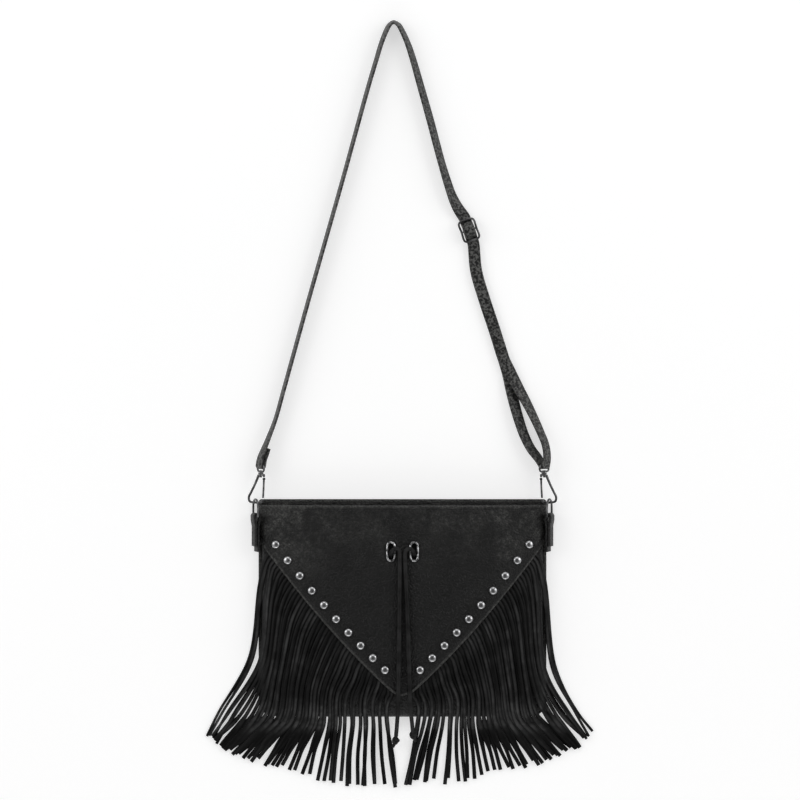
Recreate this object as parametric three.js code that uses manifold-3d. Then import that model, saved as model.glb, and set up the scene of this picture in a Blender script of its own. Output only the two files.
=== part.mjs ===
import * as THREE from 'three';
import { mergeVertices } from 'three/addons/utils/BufferGeometryUtils.js';
import Module from 'manifold-3d';

// A crossbody bag with a V-shaped front panel and long cut fringe. It lies on its back:
// +Z points out of its front, +Y towards the top of the strap, +X to the right.
// The origin is the middle of the back panel's outer face. Lengths are in millimetres.

const wasm = await Module();
wasm.setup();

const V3 = THREE.Vector3;
const { lerp, clamp, smoothstep, degToRad } = THREE.MathUtils;

// Body
const seat_gap = 0.3;
const half_width = 129.5;
const bottom_y = -100;
const mouth_y = 95.5;
const back_rise = 5.3;
const back_thick = 1.8;
const front_thick = 1.6;
const lining_thick = 0.7;
const belly_swell = 22;
const mouth_swell = 13;
const bottom_round = 62;
const corner_radius = 14;
const swell_power = 2.8;
const seam_z = back_thick + seat_gap;
const body_columns = 20;

// V panel and its edge
const panel_thick = 1.4;
const header_thick = 1.3;
const strip_clearance = 0.5;
const panel_clearance = 0.6;
const panel_lift = seat_gap + header_thick + panel_clearance;
const panel_grow = panel_lift + panel_thick;
const v_corner = [half_width + 2.5, 61.5];
const v_bow = [72, -17.85];
const v_end = [12, -73];
const v_tip_drop = 5.5;

// Studs along the V
const studs_per_side = 10;
const stud_radius = 4;
const stud_height = 2.6;
const stud_inset = 11.2;
const stud_first_x = v_corner[0] - 15.4;
const stud_last_x = v_end[0] + 3.9;

// Fringe
const strips_per_side = 36;
const strip_width = 4.1;
const strip_thick = 0.9;
const header_depth = 8;
const fringe_side_gap = 8.5;
const header_lip = 1.5;
const layer_rise = 1.5;
const strip_steps = 7;
const strip_root = 2.4;
const fall_slope = 0.9;
const fringe_reach = 179;
const fringe_drop = 165;
const fringe_sweep = 17;

// Eyelets and lace
const eyelet_x = 10.6;
const eyelet_y = 53.5;
const eyelet_width = 9;
const eyelet_length = 19;
const eyelet_rim = 2.2;
const eyelet_height = 1.5;
const lace_diameter = 3.8;
const knot_length = 11;
const knot_width = 7.5;

// Zip
const zip_y = mouth_y - 9.5;
const zip_z = 6.2;
const zip_half_length = 98;
const tape_thick = 0.8;
const tape_back_y = zip_y - 6;
const tape_front_y = zip_y + 2;
const lining_top_y = tape_back_y - 2;
const tooth_pitch = 7;
const tooth_length = 1.2;
const tooth_base = 1.0;
const tooth_depth = 2.4;
const slit_width = 1.6;
const slider_x = zip_half_length - 10;
const slider_length = 11;
const slider_width = 5.8;
const slider_plate = 1.2;
const pull_length = 22;
const pull_width = 5;
const pull_thick = 1.2;

// Side tabs, rings and hooks
const tab_width = 12;
const tab_ply = 2;
const tab_lean_deg = 20;
const ring_wire = 2;
const ring_length = 15.7;
const ring_bar_y = mouth_y - 10.3;
const ring_top_y = ring_bar_y + ring_length;
const tab_low_y = ring_bar_y - 32.5;
const ring_width = tab_width + 2 * seat_gap + ring_wire + 0.4;
const hardware_x = half_width + 5.8;
const hardware_z = 8.7;
const swivel_x = half_width + 1;
const hook_wire = 1.9;
const hook_drop = 25;
const hook_play = 0.95;
const hook_top_y = ring_top_y - ring_wire / 2 - hook_play - hook_wire / 2 + hook_drop;
const eye_wire = 1.8;
const eye_inner = 12;
const eye_height = 5;
const eye_lean_deg = { left: 62, right: 130 };

// Strap
const strap_width = 11;
const strap_thick = 1.8;
const strap_top_y = 541;
const strap_slider_half = 9.5;
const strap_slider_wire = 2;
const strap_slider_gap = 0.7;

const leather = new THREE.MeshStandardMaterial({ color: 0x1c1c1d, roughness: 0.55, metalness: 0 });
const suede = new THREE.MeshStandardMaterial({ color: 0x111112, roughness: 0.9, metalness: 0 });
const cloth = new THREE.MeshStandardMaterial({ color: 0x1a1a1c, roughness: 0.95, metalness: 0 });
const metal = new THREE.MeshStandardMaterial({ color: 0x9a9ca0, roughness: 0.25, metalness: 1 });
const brass = new THREE.MeshStandardMaterial({ color: 0x77787c, roughness: 0.3, metalness: 1 });

const bag = new THREE.Group();

function addMesh(name, geometry, material) {
  const mesh = new THREE.Mesh(geometry, material);
  mesh.name = name;
  bag.add(mesh);
  return mesh;
}

// Closed surfaces from rows of points

function geometryFrom(points, triangles) {
  let volume = 0;
  for (const [a, b, c] of triangles) {
    volume += points[a].dot(new V3().crossVectors(points[b], points[c]));
  }
  const index = triangles.flatMap(([a, b, c]) => (volume > 0 ? [a, b, c] : [a, c, b]));
  const geometry = new THREE.BufferGeometry();
  geometry.setAttribute('position', new THREE.Float32BufferAttribute(points.flatMap((p) => [p.x, p.y, p.z]), 3));
  geometry.setIndex(index);
  return mergeVertices(geometry, 1e-4);
}

function capTriangles(ring) {
  const normal = new V3();
  ring.forEach((p, i) => normal.add(new V3().crossVectors(p, ring[(i + 1) % ring.length])));
  normal.normalize();
  const across = new V3().subVectors(ring[1], ring[0]).normalize();
  const up = new V3().crossVectors(normal, across);
  const flat = ring.map((p) => new THREE.Vector2(p.dot(across), p.dot(up)));
  return THREE.ShapeUtils.triangulateShape(flat, []);
}

// Skins a list of rings, each with the same number of points, and caps both ends.
function loft(rings, closed = false) {
  const count = rings[0].length;
  const triangles = [];
  const last = closed ? rings.length : rings.length - 1;
  for (let j = 0; j < last; j++) {
    const next = (j + 1) % rings.length;
    for (let i = 0; i < count; i++) {
      const a = j * count + i;
      const b = j * count + ((i + 1) % count);
      const c = next * count + ((i + 1) % count);
      const d = next * count + i;
      triangles.push([a, b, c], [a, c, d]);
    }
  }
  if (!closed) {
    const end = (rings.length - 1) * count;
    for (const [a, b, c] of capTriangles(rings[0])) triangles.push([a, c, b]);
    for (const [a, b, c] of capTriangles(rings[rings.length - 1])) triangles.push([a + end, b + end, c + end]);
  }
  return geometryFrom(rings.flat(), triangles);
}

// Joins two sheets of points, an outer and an inner one, into a shell with a rim all round.
function shell(outer, inner) {
  const rows = outer.length;
  const cols = outer[0].length;
  const offset = rows * cols;
  const at = (j, i) => j * cols + i;
  const triangles = [];
  for (let j = 0; j < rows - 1; j++) {
    for (let i = 0; i < cols - 1; i++) {
      const quad = [at(j, i), at(j, i + 1), at(j + 1, i + 1), at(j + 1, i)];
      triangles.push([quad[0], quad[1], quad[2]], [quad[0], quad[2], quad[3]]);
      triangles.push([offset + quad[0], offset + quad[2], offset + quad[1]]);
      triangles.push([offset + quad[0], offset + quad[3], offset + quad[2]]);
    }
  }
  const rim = [];
  for (let i = 0; i < cols - 1; i++) rim.push([at(0, i), at(0, i + 1)]);
  for (let j = 0; j < rows - 1; j++) rim.push([at(j, cols - 1), at(j + 1, cols - 1)]);
  for (let i = cols - 1; i > 0; i--) rim.push([at(rows - 1, i), at(rows - 1, i - 1)]);
  for (let j = rows - 1; j > 0; j--) rim.push([at(j, 0), at(j - 1, 0)]);
  for (const [a, b] of rim) {
    triangles.push([b, a, offset + a], [b, offset + a, offset + b]);
  }
  return geometryFrom([...outer.flat(), ...inner.flat()], triangles);
}

// Solids that are joined or cut

function toSolid(geometry) {
  const bare = geometry.clone();
  bare.deleteAttribute('normal');
  bare.deleteAttribute('uv');
  const merged = mergeVertices(bare, 1e-4);
  const mesh = new wasm.Mesh({
    numProp: 3,
    vertProperties: new Float32Array(merged.attributes.position.array),
    triVerts: new Uint32Array(merged.index.array),
  });
  return new wasm.Manifold(mesh);
}

function toGeometry(solid) {
  const mesh = solid.getMesh();
  const geometry = new THREE.BufferGeometry();
  geometry.setAttribute('position', new THREE.BufferAttribute(new Float32Array(mesh.vertProperties), 3));
  geometry.setIndex(new THREE.BufferAttribute(new Uint32Array(mesh.triVerts), 1));
  return geometry;
}

const join = (...parts) => toGeometry(parts.map(toSolid).reduce((sum, part) => sum.add(part)));
const cut = (body, ...tools) => toGeometry(tools.map(toSolid).reduce((rest, tool) => rest.subtract(tool), toSolid(body)));

function placed(geometry, { at = [0, 0, 0], turn = [0, 0, 0] }) {
  const matrix = new THREE.Matrix4().makeRotationFromEuler(new THREE.Euler(...turn));
  matrix.setPosition(...at);
  return geometry.clone().applyMatrix4(matrix);
}

const box = (x0, x1, y0, y1, z0, z1) =>
  placed(new THREE.BoxGeometry(x1 - x0, y1 - y0, z1 - z0), { at: [(x0 + x1) / 2, (y0 + y1) / 2, (z0 + z1) / 2] });

// The stuffed body: a superellipse across, swelling from the mouth to the belly and rounded off at the bottom

function sideAt(y, grow) {
  const depth = corner_radius - (y - (bottom_y - grow));
  const inset = depth > 0 ? corner_radius - Math.sqrt(Math.max(corner_radius ** 2 - depth ** 2, 0)) : 0;
  return half_width + grow - inset;
}

function swellAt(y, grow) {
  const along = clamp((y - (bottom_y - grow)) / bottom_round, 0, 1);
  const rounding = (1 - (1 - along) ** swell_power) ** (1 / swell_power);
  const narrowing = smoothstep(y, bottom_y + bottom_round, mouth_y);
  return (lerp(belly_swell, mouth_swell, narrowing) + grow) * rounding;
}

function bodyPoint(angle, y, grow, base = seam_z) {
  const share = Math.abs(Math.cos(angle)) ** (2 / swell_power) * Math.sign(Math.cos(angle));
  const lift = Math.abs(Math.sin(angle)) ** (2 / swell_power);
  const height = Math.max(swellAt(y, grow) - (base - seam_z), 0) * lift;
  return new V3(sideAt(y, grow) * share, y, base + height);
}

// The height of the body's surface over a point of the floor, or nothing beside the body.
function surfaceZ(x, y, grow) {
  const side = sideAt(y, grow);
  if (y <= bottom_y - grow || Math.abs(x) >= side || y > mouth_y) return 0;
  return seam_z + swellAt(y, grow) * (1 - (Math.abs(x) / side) ** swell_power) ** (1 / swell_power);
}

const spread = (count, f) => Array.from({ length: count + 1 }, (_, i) => f(i / count));

function bodyRows(grow, top) {
  const low = bottom_y - grow;
  const rounded = spread(6, (t) => lerp(low, bottom_y + bottom_round, 1 - Math.cos((t * Math.PI) / 2)));
  const upper = spread(5, (t) => lerp(bottom_y + bottom_round, top, t)).slice(1);
  return [...rounded, ...upper];
}

function bodySheet(grow, top, columns) {
  return bodyRows(grow, top).map((y) => spread(columns, (t) => bodyPoint(Math.PI * (1 - t), y, grow)));
}

function backPanel() {
  const side = half_width + panel_grow;
  const top = mouth_y + back_rise;
  const shape = new THREE.Shape();
  shape.moveTo(-side + corner_radius, bottom_y);
  shape.lineTo(side - corner_radius, bottom_y);
  shape.absarc(side - corner_radius, bottom_y + corner_radius, corner_radius, -Math.PI / 2, 0, false);
  shape.lineTo(side, top);
  shape.lineTo(-side, top);
  shape.lineTo(-side, bottom_y + corner_radius);
  shape.absarc(-side + corner_radius, bottom_y + corner_radius, corner_radius, Math.PI, 1.5 * Math.PI, false);
  return new THREE.ExtrudeGeometry(shape, { depth: back_thick, bevelEnabled: false, curveSegments: 6 });
}

function frontPanel() {
  return shell(bodySheet(0, mouth_y, body_columns), bodySheet(-front_thick, mouth_y, body_columns));
}

// The lining is a bag inside the bag, open at its mouth.
function liningLoops(grow, base) {
  return bodyRows(grow, lining_top_y).slice(1).map((y) => {
    const arch = spread(12, (t) => bodyPoint(Math.PI * t, y, grow, base));
    const floor = spread(4, (t) => new V3(arch[12].x * (1 - 2 * t), y, base)).slice(1, -1);
    return [...arch, ...floor];
  });
}

function lining() {
  const outer = liningLoops(-front_thick - seat_gap, seam_z);
  const inner = liningLoops(-front_thick - seat_gap - lining_thick, seam_z + lining_thick);
  return cut(loft(outer), loft([...inner, inner[inner.length - 1].map((p) => p.clone().setY(p.y + 1))]));
}

// The V edge, as a height over each place across the bag

function vEdgeY(x) {
  const across = Math.abs(x);
  if (across < v_end[0]) {
    return v_end[1] - v_tip_drop * (1 - (across / v_end[0]) ** 2);
  }
  const s = (v_corner[0] - across) / (v_corner[0] - v_end[0]);
  return (1 - s) ** 2 * v_corner[1] + 2 * s * (1 - s) * v_bow[1] + s * s * v_end[1];
}

const solidOver = (outline) => new THREE.ExtrudeGeometry(outline, { depth: 60, bevelEnabled: false });

const outlineOf = (points) => new THREE.Shape(points.map(([x, y]) => new THREE.Vector2(x, y)));

// A layer that lies on the body, between two distances from it, over one outline of the floor plan
function layerOn(low, high, outline) {
  const wrapped = shell(bodySheet(high, mouth_y, body_columns), bodySheet(low, mouth_y, body_columns));
  return toGeometry(toSolid(wrapped).intersect(toSolid(solidOver(outline))));
}

function ovalPath(width, length, x, y) {
  const radius = width / 2;
  const run = length / 2 - radius;
  const path = new THREE.Path();
  path.absarc(x, y + run, radius, 0, Math.PI, false);
  path.absarc(x, y - run, radius, Math.PI, 2 * Math.PI, false);
  path.closePath();
  return path;
}

function vPanel() {
  const beyond = 30;
  const reach = v_corner[0] + beyond;
  const edge = spread(32, (t) => lerp(-v_corner[0], v_corner[0], t)).map((x) => [x, vEdgeY(x)]);
  const top = mouth_y + beyond;
  const outline = outlineOf([...edge, [reach, v_corner[1]], [reach, top], [-reach, top], [-reach, v_corner[1]]]);
  const hole_width = eyelet_width - 2 * eyelet_rim + 1;
  const hole_length = eyelet_length - 2 * eyelet_rim + 1;
  for (const side of [-1, 1]) {
    outline.holes.push(ovalPath(hole_width, hole_length, side * eyelet_x, eyelet_y));
  }
  return layerOn(panel_lift, panel_grow, outline);
}

// A frame on the outside of the V panel: the point and the way out of it
function onPanel(x, y, grow = panel_grow) {
  const step = 0.5;
  const z = surfaceZ(x, y, grow);
  const dx = (surfaceZ(x + step, y, grow) - surfaceZ(x - step, y, grow)) / (2 * step);
  const dy = (surfaceZ(x, y + step, grow) - surfaceZ(x, y - step, grow)) / (2 * step);
  return { point: new V3(x, y, z), out: new V3(-dx, -dy, 1).normalize() };
}

function stoodOn(geometry, spot, lift = seat_gap) {
  const turn = new THREE.Quaternion().setFromUnitVectors(new V3(0, 0, 1), spot.out);
  const matrix = new THREE.Matrix4().makeRotationFromQuaternion(turn);
  matrix.setPosition(spot.point.clone().addScaledVector(spot.out, lift));
  return geometry.clone().applyMatrix4(matrix);
}

function studSpots(side) {
  return spread(studs_per_side - 1, (t) => {
    const x = lerp(stud_first_x, stud_last_x, t);
    const slope = (vEdgeY(x + 1) - vEdgeY(x - 1)) / 2;
    const y = vEdgeY(x) + stud_inset * Math.hypot(1, slope);
    return onPanel(side * x, y);
  });
}

function stud() {
  const profile = [new THREE.Vector2(0, 0), new THREE.Vector2(stud_radius, 0), new THREE.Vector2(stud_radius, 0.5)];
  for (const angle of [48]) {
    const a = degToRad(angle);
    profile.push(new THREE.Vector2(stud_radius * 0.94 * Math.cos(a), 0.5 + (stud_height - 0.5) * Math.sin(a)));
  }
  profile.push(new THREE.Vector2(0, stud_height));
  return placed(new THREE.LatheGeometry(profile, 10), { turn: [Math.PI / 2, 0, 0] });
}

// Fringe: strips leave the band square to the V edge, hang down over the front and fan out on the floor

// The line through the tips of each side, as shares of the fringe's reach and of its drop
const fringe_sides = {
  left: { sign: -1, tips: [[1, 0.7], [0.93, 0.78], [0.8, 0.87], [0.61, 0.93], [0.32, 0.98], [0.03, 1]] },
  right: { sign: 1, tips: [[0.98, 0.7], [0.88, 0.76], [0.73, 0.82], [0.56, 0.89], [0.31, 0.97], [0.01, 0.99]] },
};

function curveThrough(points) {
  return new THREE.CatmullRomCurve3(points.map(([x, y]) => new V3(x, y, 0)), false, 'centripetal');
}

const edgeCurve = curveThrough(spread(12, (t) => {
  const x = lerp(half_width - fringe_side_gap, v_end[0] - 4, t);
  return [x, vEdgeY(x)];
}));

// The way a strip runs over the floor plan: from under the V edge, out, down and away to its tip
function stripPlan(share, tips) {
  const root = edgeCurve.getPointAt(share);
  const along = edgeCurve.getTangentAt(share);
  const square = new V3(Math.abs(along.y), -Math.abs(along.x), 0);
  const out = square.lerp(new V3(0, -1, 0), 0.8 * smoothstep(share, 0.7, 1)).normalize();
  const tip = tips.getPointAt(0.75 * share + 0.25 * share ** 6);
  const outer_drift = lerp(fringe_sweep, 0.8 * fringe_sweep, smoothstep(share, 0, 0.2));
  const drift = lerp(outer_drift, 3, smoothstep(share, 0.45, 1));
  const hang = new V3(root.x + drift, lerp(-30, -88, share), 0);
  const bend = new V3(lerp(hang.x, tip.x, lerp(0.58, 0.4, share)), lerp(-99, -112, share), 0);
  const reach = lerp(4, 11, smoothstep(share, 0, 0.3));
  return new THREE.CatmullRomCurve3(
    [
      root.clone().addScaledVector(out, -strip_root),
      root.clone().addScaledVector(out, reach),
      hang,
      bend,
      tip,
    ],
    false,
    'centripetal',
  );
}

// What a strip lies on: the body's front, the rim of the back panel, or the floor beside it
function restZ(x, y) {
  const margin = 1.5;
  const over_back = Math.abs(x) < sideAt(y, 0) + panel_grow + margin && y > bottom_y - margin;
  return Math.max(surfaceZ(x, y, strip_clearance), (over_back ? back_thick : 0) + seat_gap);
}

// Lays a strip over what is under it, with a limit on how steeply it can fall.
function drapedStrip(plan, sign, layer) {
  const fine = strip_steps * 12;
  const samples = spread(fine, (t) => {
    const centre = plan.getPointAt(t);
    const ahead = plan.getTangentAt(t);
    const across = new V3(-ahead.y, ahead.x, 0).multiplyScalar(strip_width / 2);
    const rise = layer * layer_rise * smoothstep(t * plan.getLength(), 1.4 * header_depth, 3.2 * header_depth);
    const edges = [centre.clone().add(across), centre.clone().sub(across)];
    const z = edges.map((e) => restZ(e.x, e.y));
    const middle = spread(6, (u) => {
      const p = edges[0].clone().lerp(edges[1], u);
      return restZ(p.x, p.y) - lerp(z[0], z[1], u);
    });
    const crown = Math.max(0, ...middle);
    return { edges, rise, z: z.map((height) => height + crown) };
  });
  const stride = plan.getLength() / fine;
  for (const side of [0, 1]) {
    for (let i = 1; i <= fine; i++) {
      samples[i].z[side] = Math.max(samples[i].z[side], samples[i - 1].z[side] - fall_slope * stride);
    }
  }
  const bank = strip_width * 0.5;
  for (const s of samples) {
    s.z = [Math.max(s.z[0], s.z[1] - bank), Math.max(s.z[1], s.z[0] - bank)];
  }
  const stops = spread(strip_steps, (t) => Math.round(t * fine));
  const heights = [0, 1].map((side) => {
    const z = stops.map((i) => samples[i].z[side]);
    for (let pass = 0; pass < 4; pass++) {
      for (let k = 0; k < strip_steps; k++) {
        let short = 0;
        for (let i = stops[k]; i <= stops[k + 1]; i++) {
          const t = (i - stops[k]) / (stops[k + 1] - stops[k]);
          short = Math.max(short, samples[i].z[side] - lerp(z[k], z[k + 1], t));
        }
        z[k] += short;
        z[k + 1] += short;
      }
    }
    return z;
  });
  return stops.map((i, k) => {
    const { edges, rise } = samples[i];
    const root = k === 0 ? 0.1 : 0;
    const [a, b] = edges.map((e, side) => new V3(sign * e.x, e.y, heights[side][k] + rise));
    return [
      a.clone().setZ(a.z + root),
      b.clone().setZ(b.z + root),
      b.clone().setZ(b.z + strip_thick),
      a.clone().setZ(a.z + strip_thick),
    ];
  });
}

function headerBand(sign) {
  const edges = spread(24, (t) => {
    const root = edgeCurve.getPointAt(t);
    const along = edgeCurve.getTangentAt(t);
    const out = new V3(Math.abs(along.y), -Math.abs(along.x), 0);
    return [root.clone().addScaledVector(out, header_lip), root.clone().addScaledVector(out, -header_depth)];
  });
  const outer = edges.map(([p]) => [sign * p.x, p.y]);
  const inner = edges.map(([, p]) => [sign * p.x, p.y]).reverse();
  return layerOn(seat_gap, seat_gap + header_thick, outlineOf([...outer, ...inner]));
}

function fringe({ sign, tips }) {
  const tipCurve = curveThrough(tips.map(([out, down]) => [out * fringe_reach, -down * fringe_drop]));
  const strips = Array.from({ length: strips_per_side }, (_, k) => {
    const share = (k + 0.5) / strips_per_side;
    return loft(drapedStrip(stripPlan(share, tipCurve), sign, k % 2));
  });
  return join(headerBand(sign), ...strips);
}

// A run of round wire through points that lie in one plane or not
function wire(points, diameter, closed = false, facets = 8, steps = 0) {
  const curve = new THREE.CatmullRomCurve3(points, closed, 'centripetal');
  const count = steps || points.length * 3;
  const frames = curve.computeFrenetFrames(count, closed);
  const rings = Array.from({ length: closed ? count : count + 1 }, (_, j) => {
    const centre = curve.getPointAt(j / count);
    return Array.from({ length: facets }, (_, i) => {
      const a = (2 * Math.PI * (i + 0.5)) / facets;
      return centre
        .clone()
        .addScaledVector(frames.normals[j], (diameter / 2) * Math.cos(a))
        .addScaledVector(frames.binormals[j], (diameter / 2) * Math.sin(a));
    });
  });
  return loft(rings, closed);
}

// Eyelets: oblong rims set on the V panel over its two slots
function eyelet(side) {
  const outline = new THREE.Shape(ovalPath(eyelet_width, eyelet_length, 0, 0).getPoints(4));
  outline.holes.push(ovalPath(eyelet_width - 2 * eyelet_rim, eyelet_length - 2 * eyelet_rim, 0, 0));
  const bevel = 0.5;
  const rim = new THREE.ExtrudeGeometry(outline, {
    depth: eyelet_height - bevel,
    bevelSize: bevel / 2,
    bevelOffset: -bevel / 2,
    bevelThickness: bevel / 2,
    bevelSegments: 1,
    curveSegments: 4,
  });
  const spot = onPanel(side * eyelet_x, eyelet_y);
  return stoodOn(rim, spot, seat_gap + bevel);
}

// The lace: each strand comes out of its eyelet, turns down beside its fellow and ends in a knot
const lace_over_panel = lace_diameter / 2 + 0.5;
const lace_routes = {
  left: [
    [-10.6, 50.8, -0.4], [-10.5, 52, 1.8], [-9.6, 54, 4.2], [-7.8, 56, 5.4], [-5.6, 56.9, 5.0],
    [-3.6, 55.8, 3.7], [-2.7, 52.5, 2.7], [-2.5, 47, lace_over_panel], [-2.5, 30, lace_over_panel],
    [-2.7, 5, lace_over_panel], [-3.0, -20, lace_over_panel], [-3.3, -45, lace_over_panel],
    [-3.6, -66, lace_over_panel],
  ],
  right: [
    [10.6, 50.8, -0.4], [10.5, 52, 1.8], [9.6, 54, 4.2], [7.8, 56, 5.4], [5.6, 56.6, 5.0],
    [3.4, 55.2, 3.7], [2.3, 52, 2.7], [2.2, 46, lace_over_panel], [3.1, 28, lace_over_panel],
    [4.1, 5, lace_over_panel], [5.0, -20, lace_over_panel], [5.8, -45, lace_over_panel],
    [6.4, -66, lace_over_panel],
  ],
};
const lace_falls = {
  left: [[-3.8, -80, 27.4], [-4.2, -91, 24.4], [-4.8, -101, 19], [-5.4, -110, 14], [-6.0, -117, 11.2]],
  right: [[6.8, -80, 27.4], [7.4, -90, 25], [8.2, -99, 20.2], [8.9, -106, 15.8], [9.4, -112, 12.8]],
};

function lacePoints(name) {
  const on = lace_routes[name].map(([x, y, lift]) => new V3(x, y, surfaceZ(x, y, panel_grow) + lift));
  const falling = lace_falls[name].map(([x, y, z]) => new V3(x, y, z));
  return [...on, ...falling];
}

function knot(name) {
  const points = lacePoints(name);
  const end = points[points.length - 1];
  const way = new V3().subVectors(end, points[points.length - 2]).normalize();
  const profile = [[0, 0], [0.55, 0], [0.9, 0.16], [1, 0.38], [0.82, 0.6], [0.95, 0.8], [0.5, 1], [0, 1]];
  const turned = new THREE.LatheGeometry(
    profile.map(([r, h]) => new THREE.Vector2((r * knot_width) / 2, h * knot_length)),
    12,
  );
  const matrix = new THREE.Matrix4().makeRotationFromQuaternion(
    new THREE.Quaternion().setFromUnitVectors(new V3(0, 1, 0), way),
  );
  matrix.setPosition(end.clone().addScaledVector(way, seat_gap));
  return turned.applyMatrix4(matrix);
}

// Zip: two cloth tapes on the panels, two rows of teeth with a slit between them, slider and pull

function frontTape() {
  const web_y = zip_y - tape_thick / 2;
  const web_z = zip_z + slit_width / 2 + tooth_length + tooth_base + seat_gap;
  const grow = -front_thick - seat_gap;
  return loft(spread(16, (t) => {
    const x = lerp(-zip_half_length, zip_half_length, t);
    const roof = (y) => surfaceZ(x, y, grow);
    const under = (y) => roof(y) - tape_thick;
    return [
      [tape_back_y, roof(tape_back_y)], [tape_back_y, under(tape_back_y)],
      [web_y, under(web_y)], [web_y, web_z],
      [web_y + tape_thick, web_z], [web_y + tape_thick, under(web_y + tape_thick)],
      [tape_front_y, under(tape_front_y)], [tape_front_y, roof(tape_front_y)],
    ].map(([y, z]) => new V3(x, y, z));
  }));
}

const backTape = () =>
  box(-zip_half_length, zip_half_length, tape_back_y, tape_front_y, seam_z, seam_z + tape_thick);

// A comb of teeth that points towards the slit
function teeth(side) {
  const root = slit_width / 2 + tooth_length + tooth_base;
  const gum = slit_width / 2 + tooth_length;
  const tip = slit_width / 2;
  const points = [[zip_half_length, root], [-zip_half_length, root]];
  const count = Math.floor((2 * zip_half_length) / tooth_pitch);
  for (let i = 0; i < count; i++) {
    const x = -zip_half_length + i * tooth_pitch;
    points.push([x, tip], [x + tooth_pitch * 0.5, tip], [x + tooth_pitch * 0.5, gum], [x + tooth_pitch, gum]);
  }
  const shape = outlineOf(points.map(([x, z]) => [x, side * z]));
  const comb = new THREE.ExtrudeGeometry(shape, { depth: tooth_depth, bevelEnabled: false });
  return placed(comb, { at: [0, zip_y + tooth_depth / 2, zip_z], turn: [Math.PI / 2, 0, 0] });
}

const plate_y = zip_y + tooth_depth / 2 + seat_gap;
const crown_height = 2.8;
const crown_y = plate_y + slider_plate + crown_height * 0.45;

function zipSlider() {
  const half = slider_length / 2;
  const outline = outlineOf([
    [half, -slider_width / 2], [half, slider_width / 2], [-half * 0.6, slider_width / 2],
    [-half, slider_width / 4], [-half, -slider_width / 4], [-half * 0.6, -slider_width / 2],
  ]);
  const plate = new THREE.ExtrudeGeometry(outline, { depth: slider_plate, bevelEnabled: false });
  const upper = placed(plate, { at: [slider_x, plate_y + slider_plate, zip_z], turn: [Math.PI / 2, 0, 0] });
  const lower_y = zip_y - tooth_depth / 2 - seat_gap;
  const lower = placed(plate, { at: [slider_x, lower_y, zip_z], turn: [Math.PI / 2, 0, 0] });
  const post = box(
    slider_x + half * 0.1, slider_x + half * 0.8,
    lower_y - slider_plate / 2, plate_y + slider_plate / 2, zip_z - 0.4, zip_z + 0.4,
  );
  const arch = outlineOf([[-3.6, -0.4], [3.6, -0.4], [2.4, crown_height], [-2.4, crown_height]]);
  arch.holes.push(outlineOf([[-2.2, 0.3], [2.2, 0.3], [1.4, crown_height - 0.8], [-1.4, crown_height - 0.8]]));
  const crown = placed(new THREE.ExtrudeGeometry(arch, { depth: 2, bevelEnabled: false }), {
    at: [slider_x, plate_y + slider_plate, zip_z - 1],
  });
  return join(upper, lower, post, crown);
}

function zipPull() {
  const arm = 0.9;
  const start = slider_x + 0.5;
  const neck = slider_x - 5.2;
  const low = crown_y - pull_thick / 2;
  const high = crown_y + pull_thick / 2;
  const low_z = zip_z - pull_width / 2;
  const high_z = zip_z + pull_width / 2;
  const parts = [
    box(slider_x - 0.5, start, low, high, low_z, high_z),
    box(neck, start, low, high, low_z, low_z + arm),
    box(neck, start, low, high, high_z - arm, high_z),
  ];
  const outline = outlineOf([
    [neck + 1, -pull_width / 2], [neck + 1, pull_width / 2], [neck - 3, pull_width * 0.36],
    [slider_x - pull_length + 2, pull_width / 2], [slider_x - pull_length, pull_width / 4],
    [slider_x - pull_length, -pull_width / 4], [slider_x - pull_length + 2, -pull_width / 2],
    [neck - 3, -pull_width * 0.36],
  ]);
  const plate = new THREE.ExtrudeGeometry(outline, { depth: pull_thick, bevelEnabled: false });
  parts.push(placed(plate, { at: [0, high, zip_z], turn: [Math.PI / 2, 0, 0] }));
  return join(...parts);
}

function zipStop(side) {
  const start = zip_half_length + seat_gap;
  const half = side > 0 ? 3 : 3.4;
  return box(
    side * start + (side > 0 ? 0 : -3), side * start + (side > 0 ? 3 : 0),
    zip_y - 1.4, zip_y + 1.4, zip_z - half, zip_z + half,
  );
}

// Side tabs, rings and hooks. Each side is built for the right and mirrored for the left.

function sidePart(geometry, side) {
  if (side > 0) return geometry;
  return geometryFrom(pointsOf(geometry).map((p) => p.setX(-p.x)), trianglesOf(geometry));
}

function pointsOf(geometry) {
  const at = geometry.attributes.position;
  return Array.from({ length: at.count }, (_, i) => new V3().fromBufferAttribute(at, i));
}

function trianglesOf(geometry) {
  const index = geometry.index ? [...geometry.index.array] : pointsOf(geometry).map((_, i) => i);
  return Array.from({ length: index.length / 3 }, (_, i) => index.slice(3 * i, 3 * i + 3));
}

const leaned = (geometry) =>
  placed(geometry, { at: [hardware_x, 0, hardware_z], turn: [0, -degToRad(tab_lean_deg), 0] });

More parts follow.
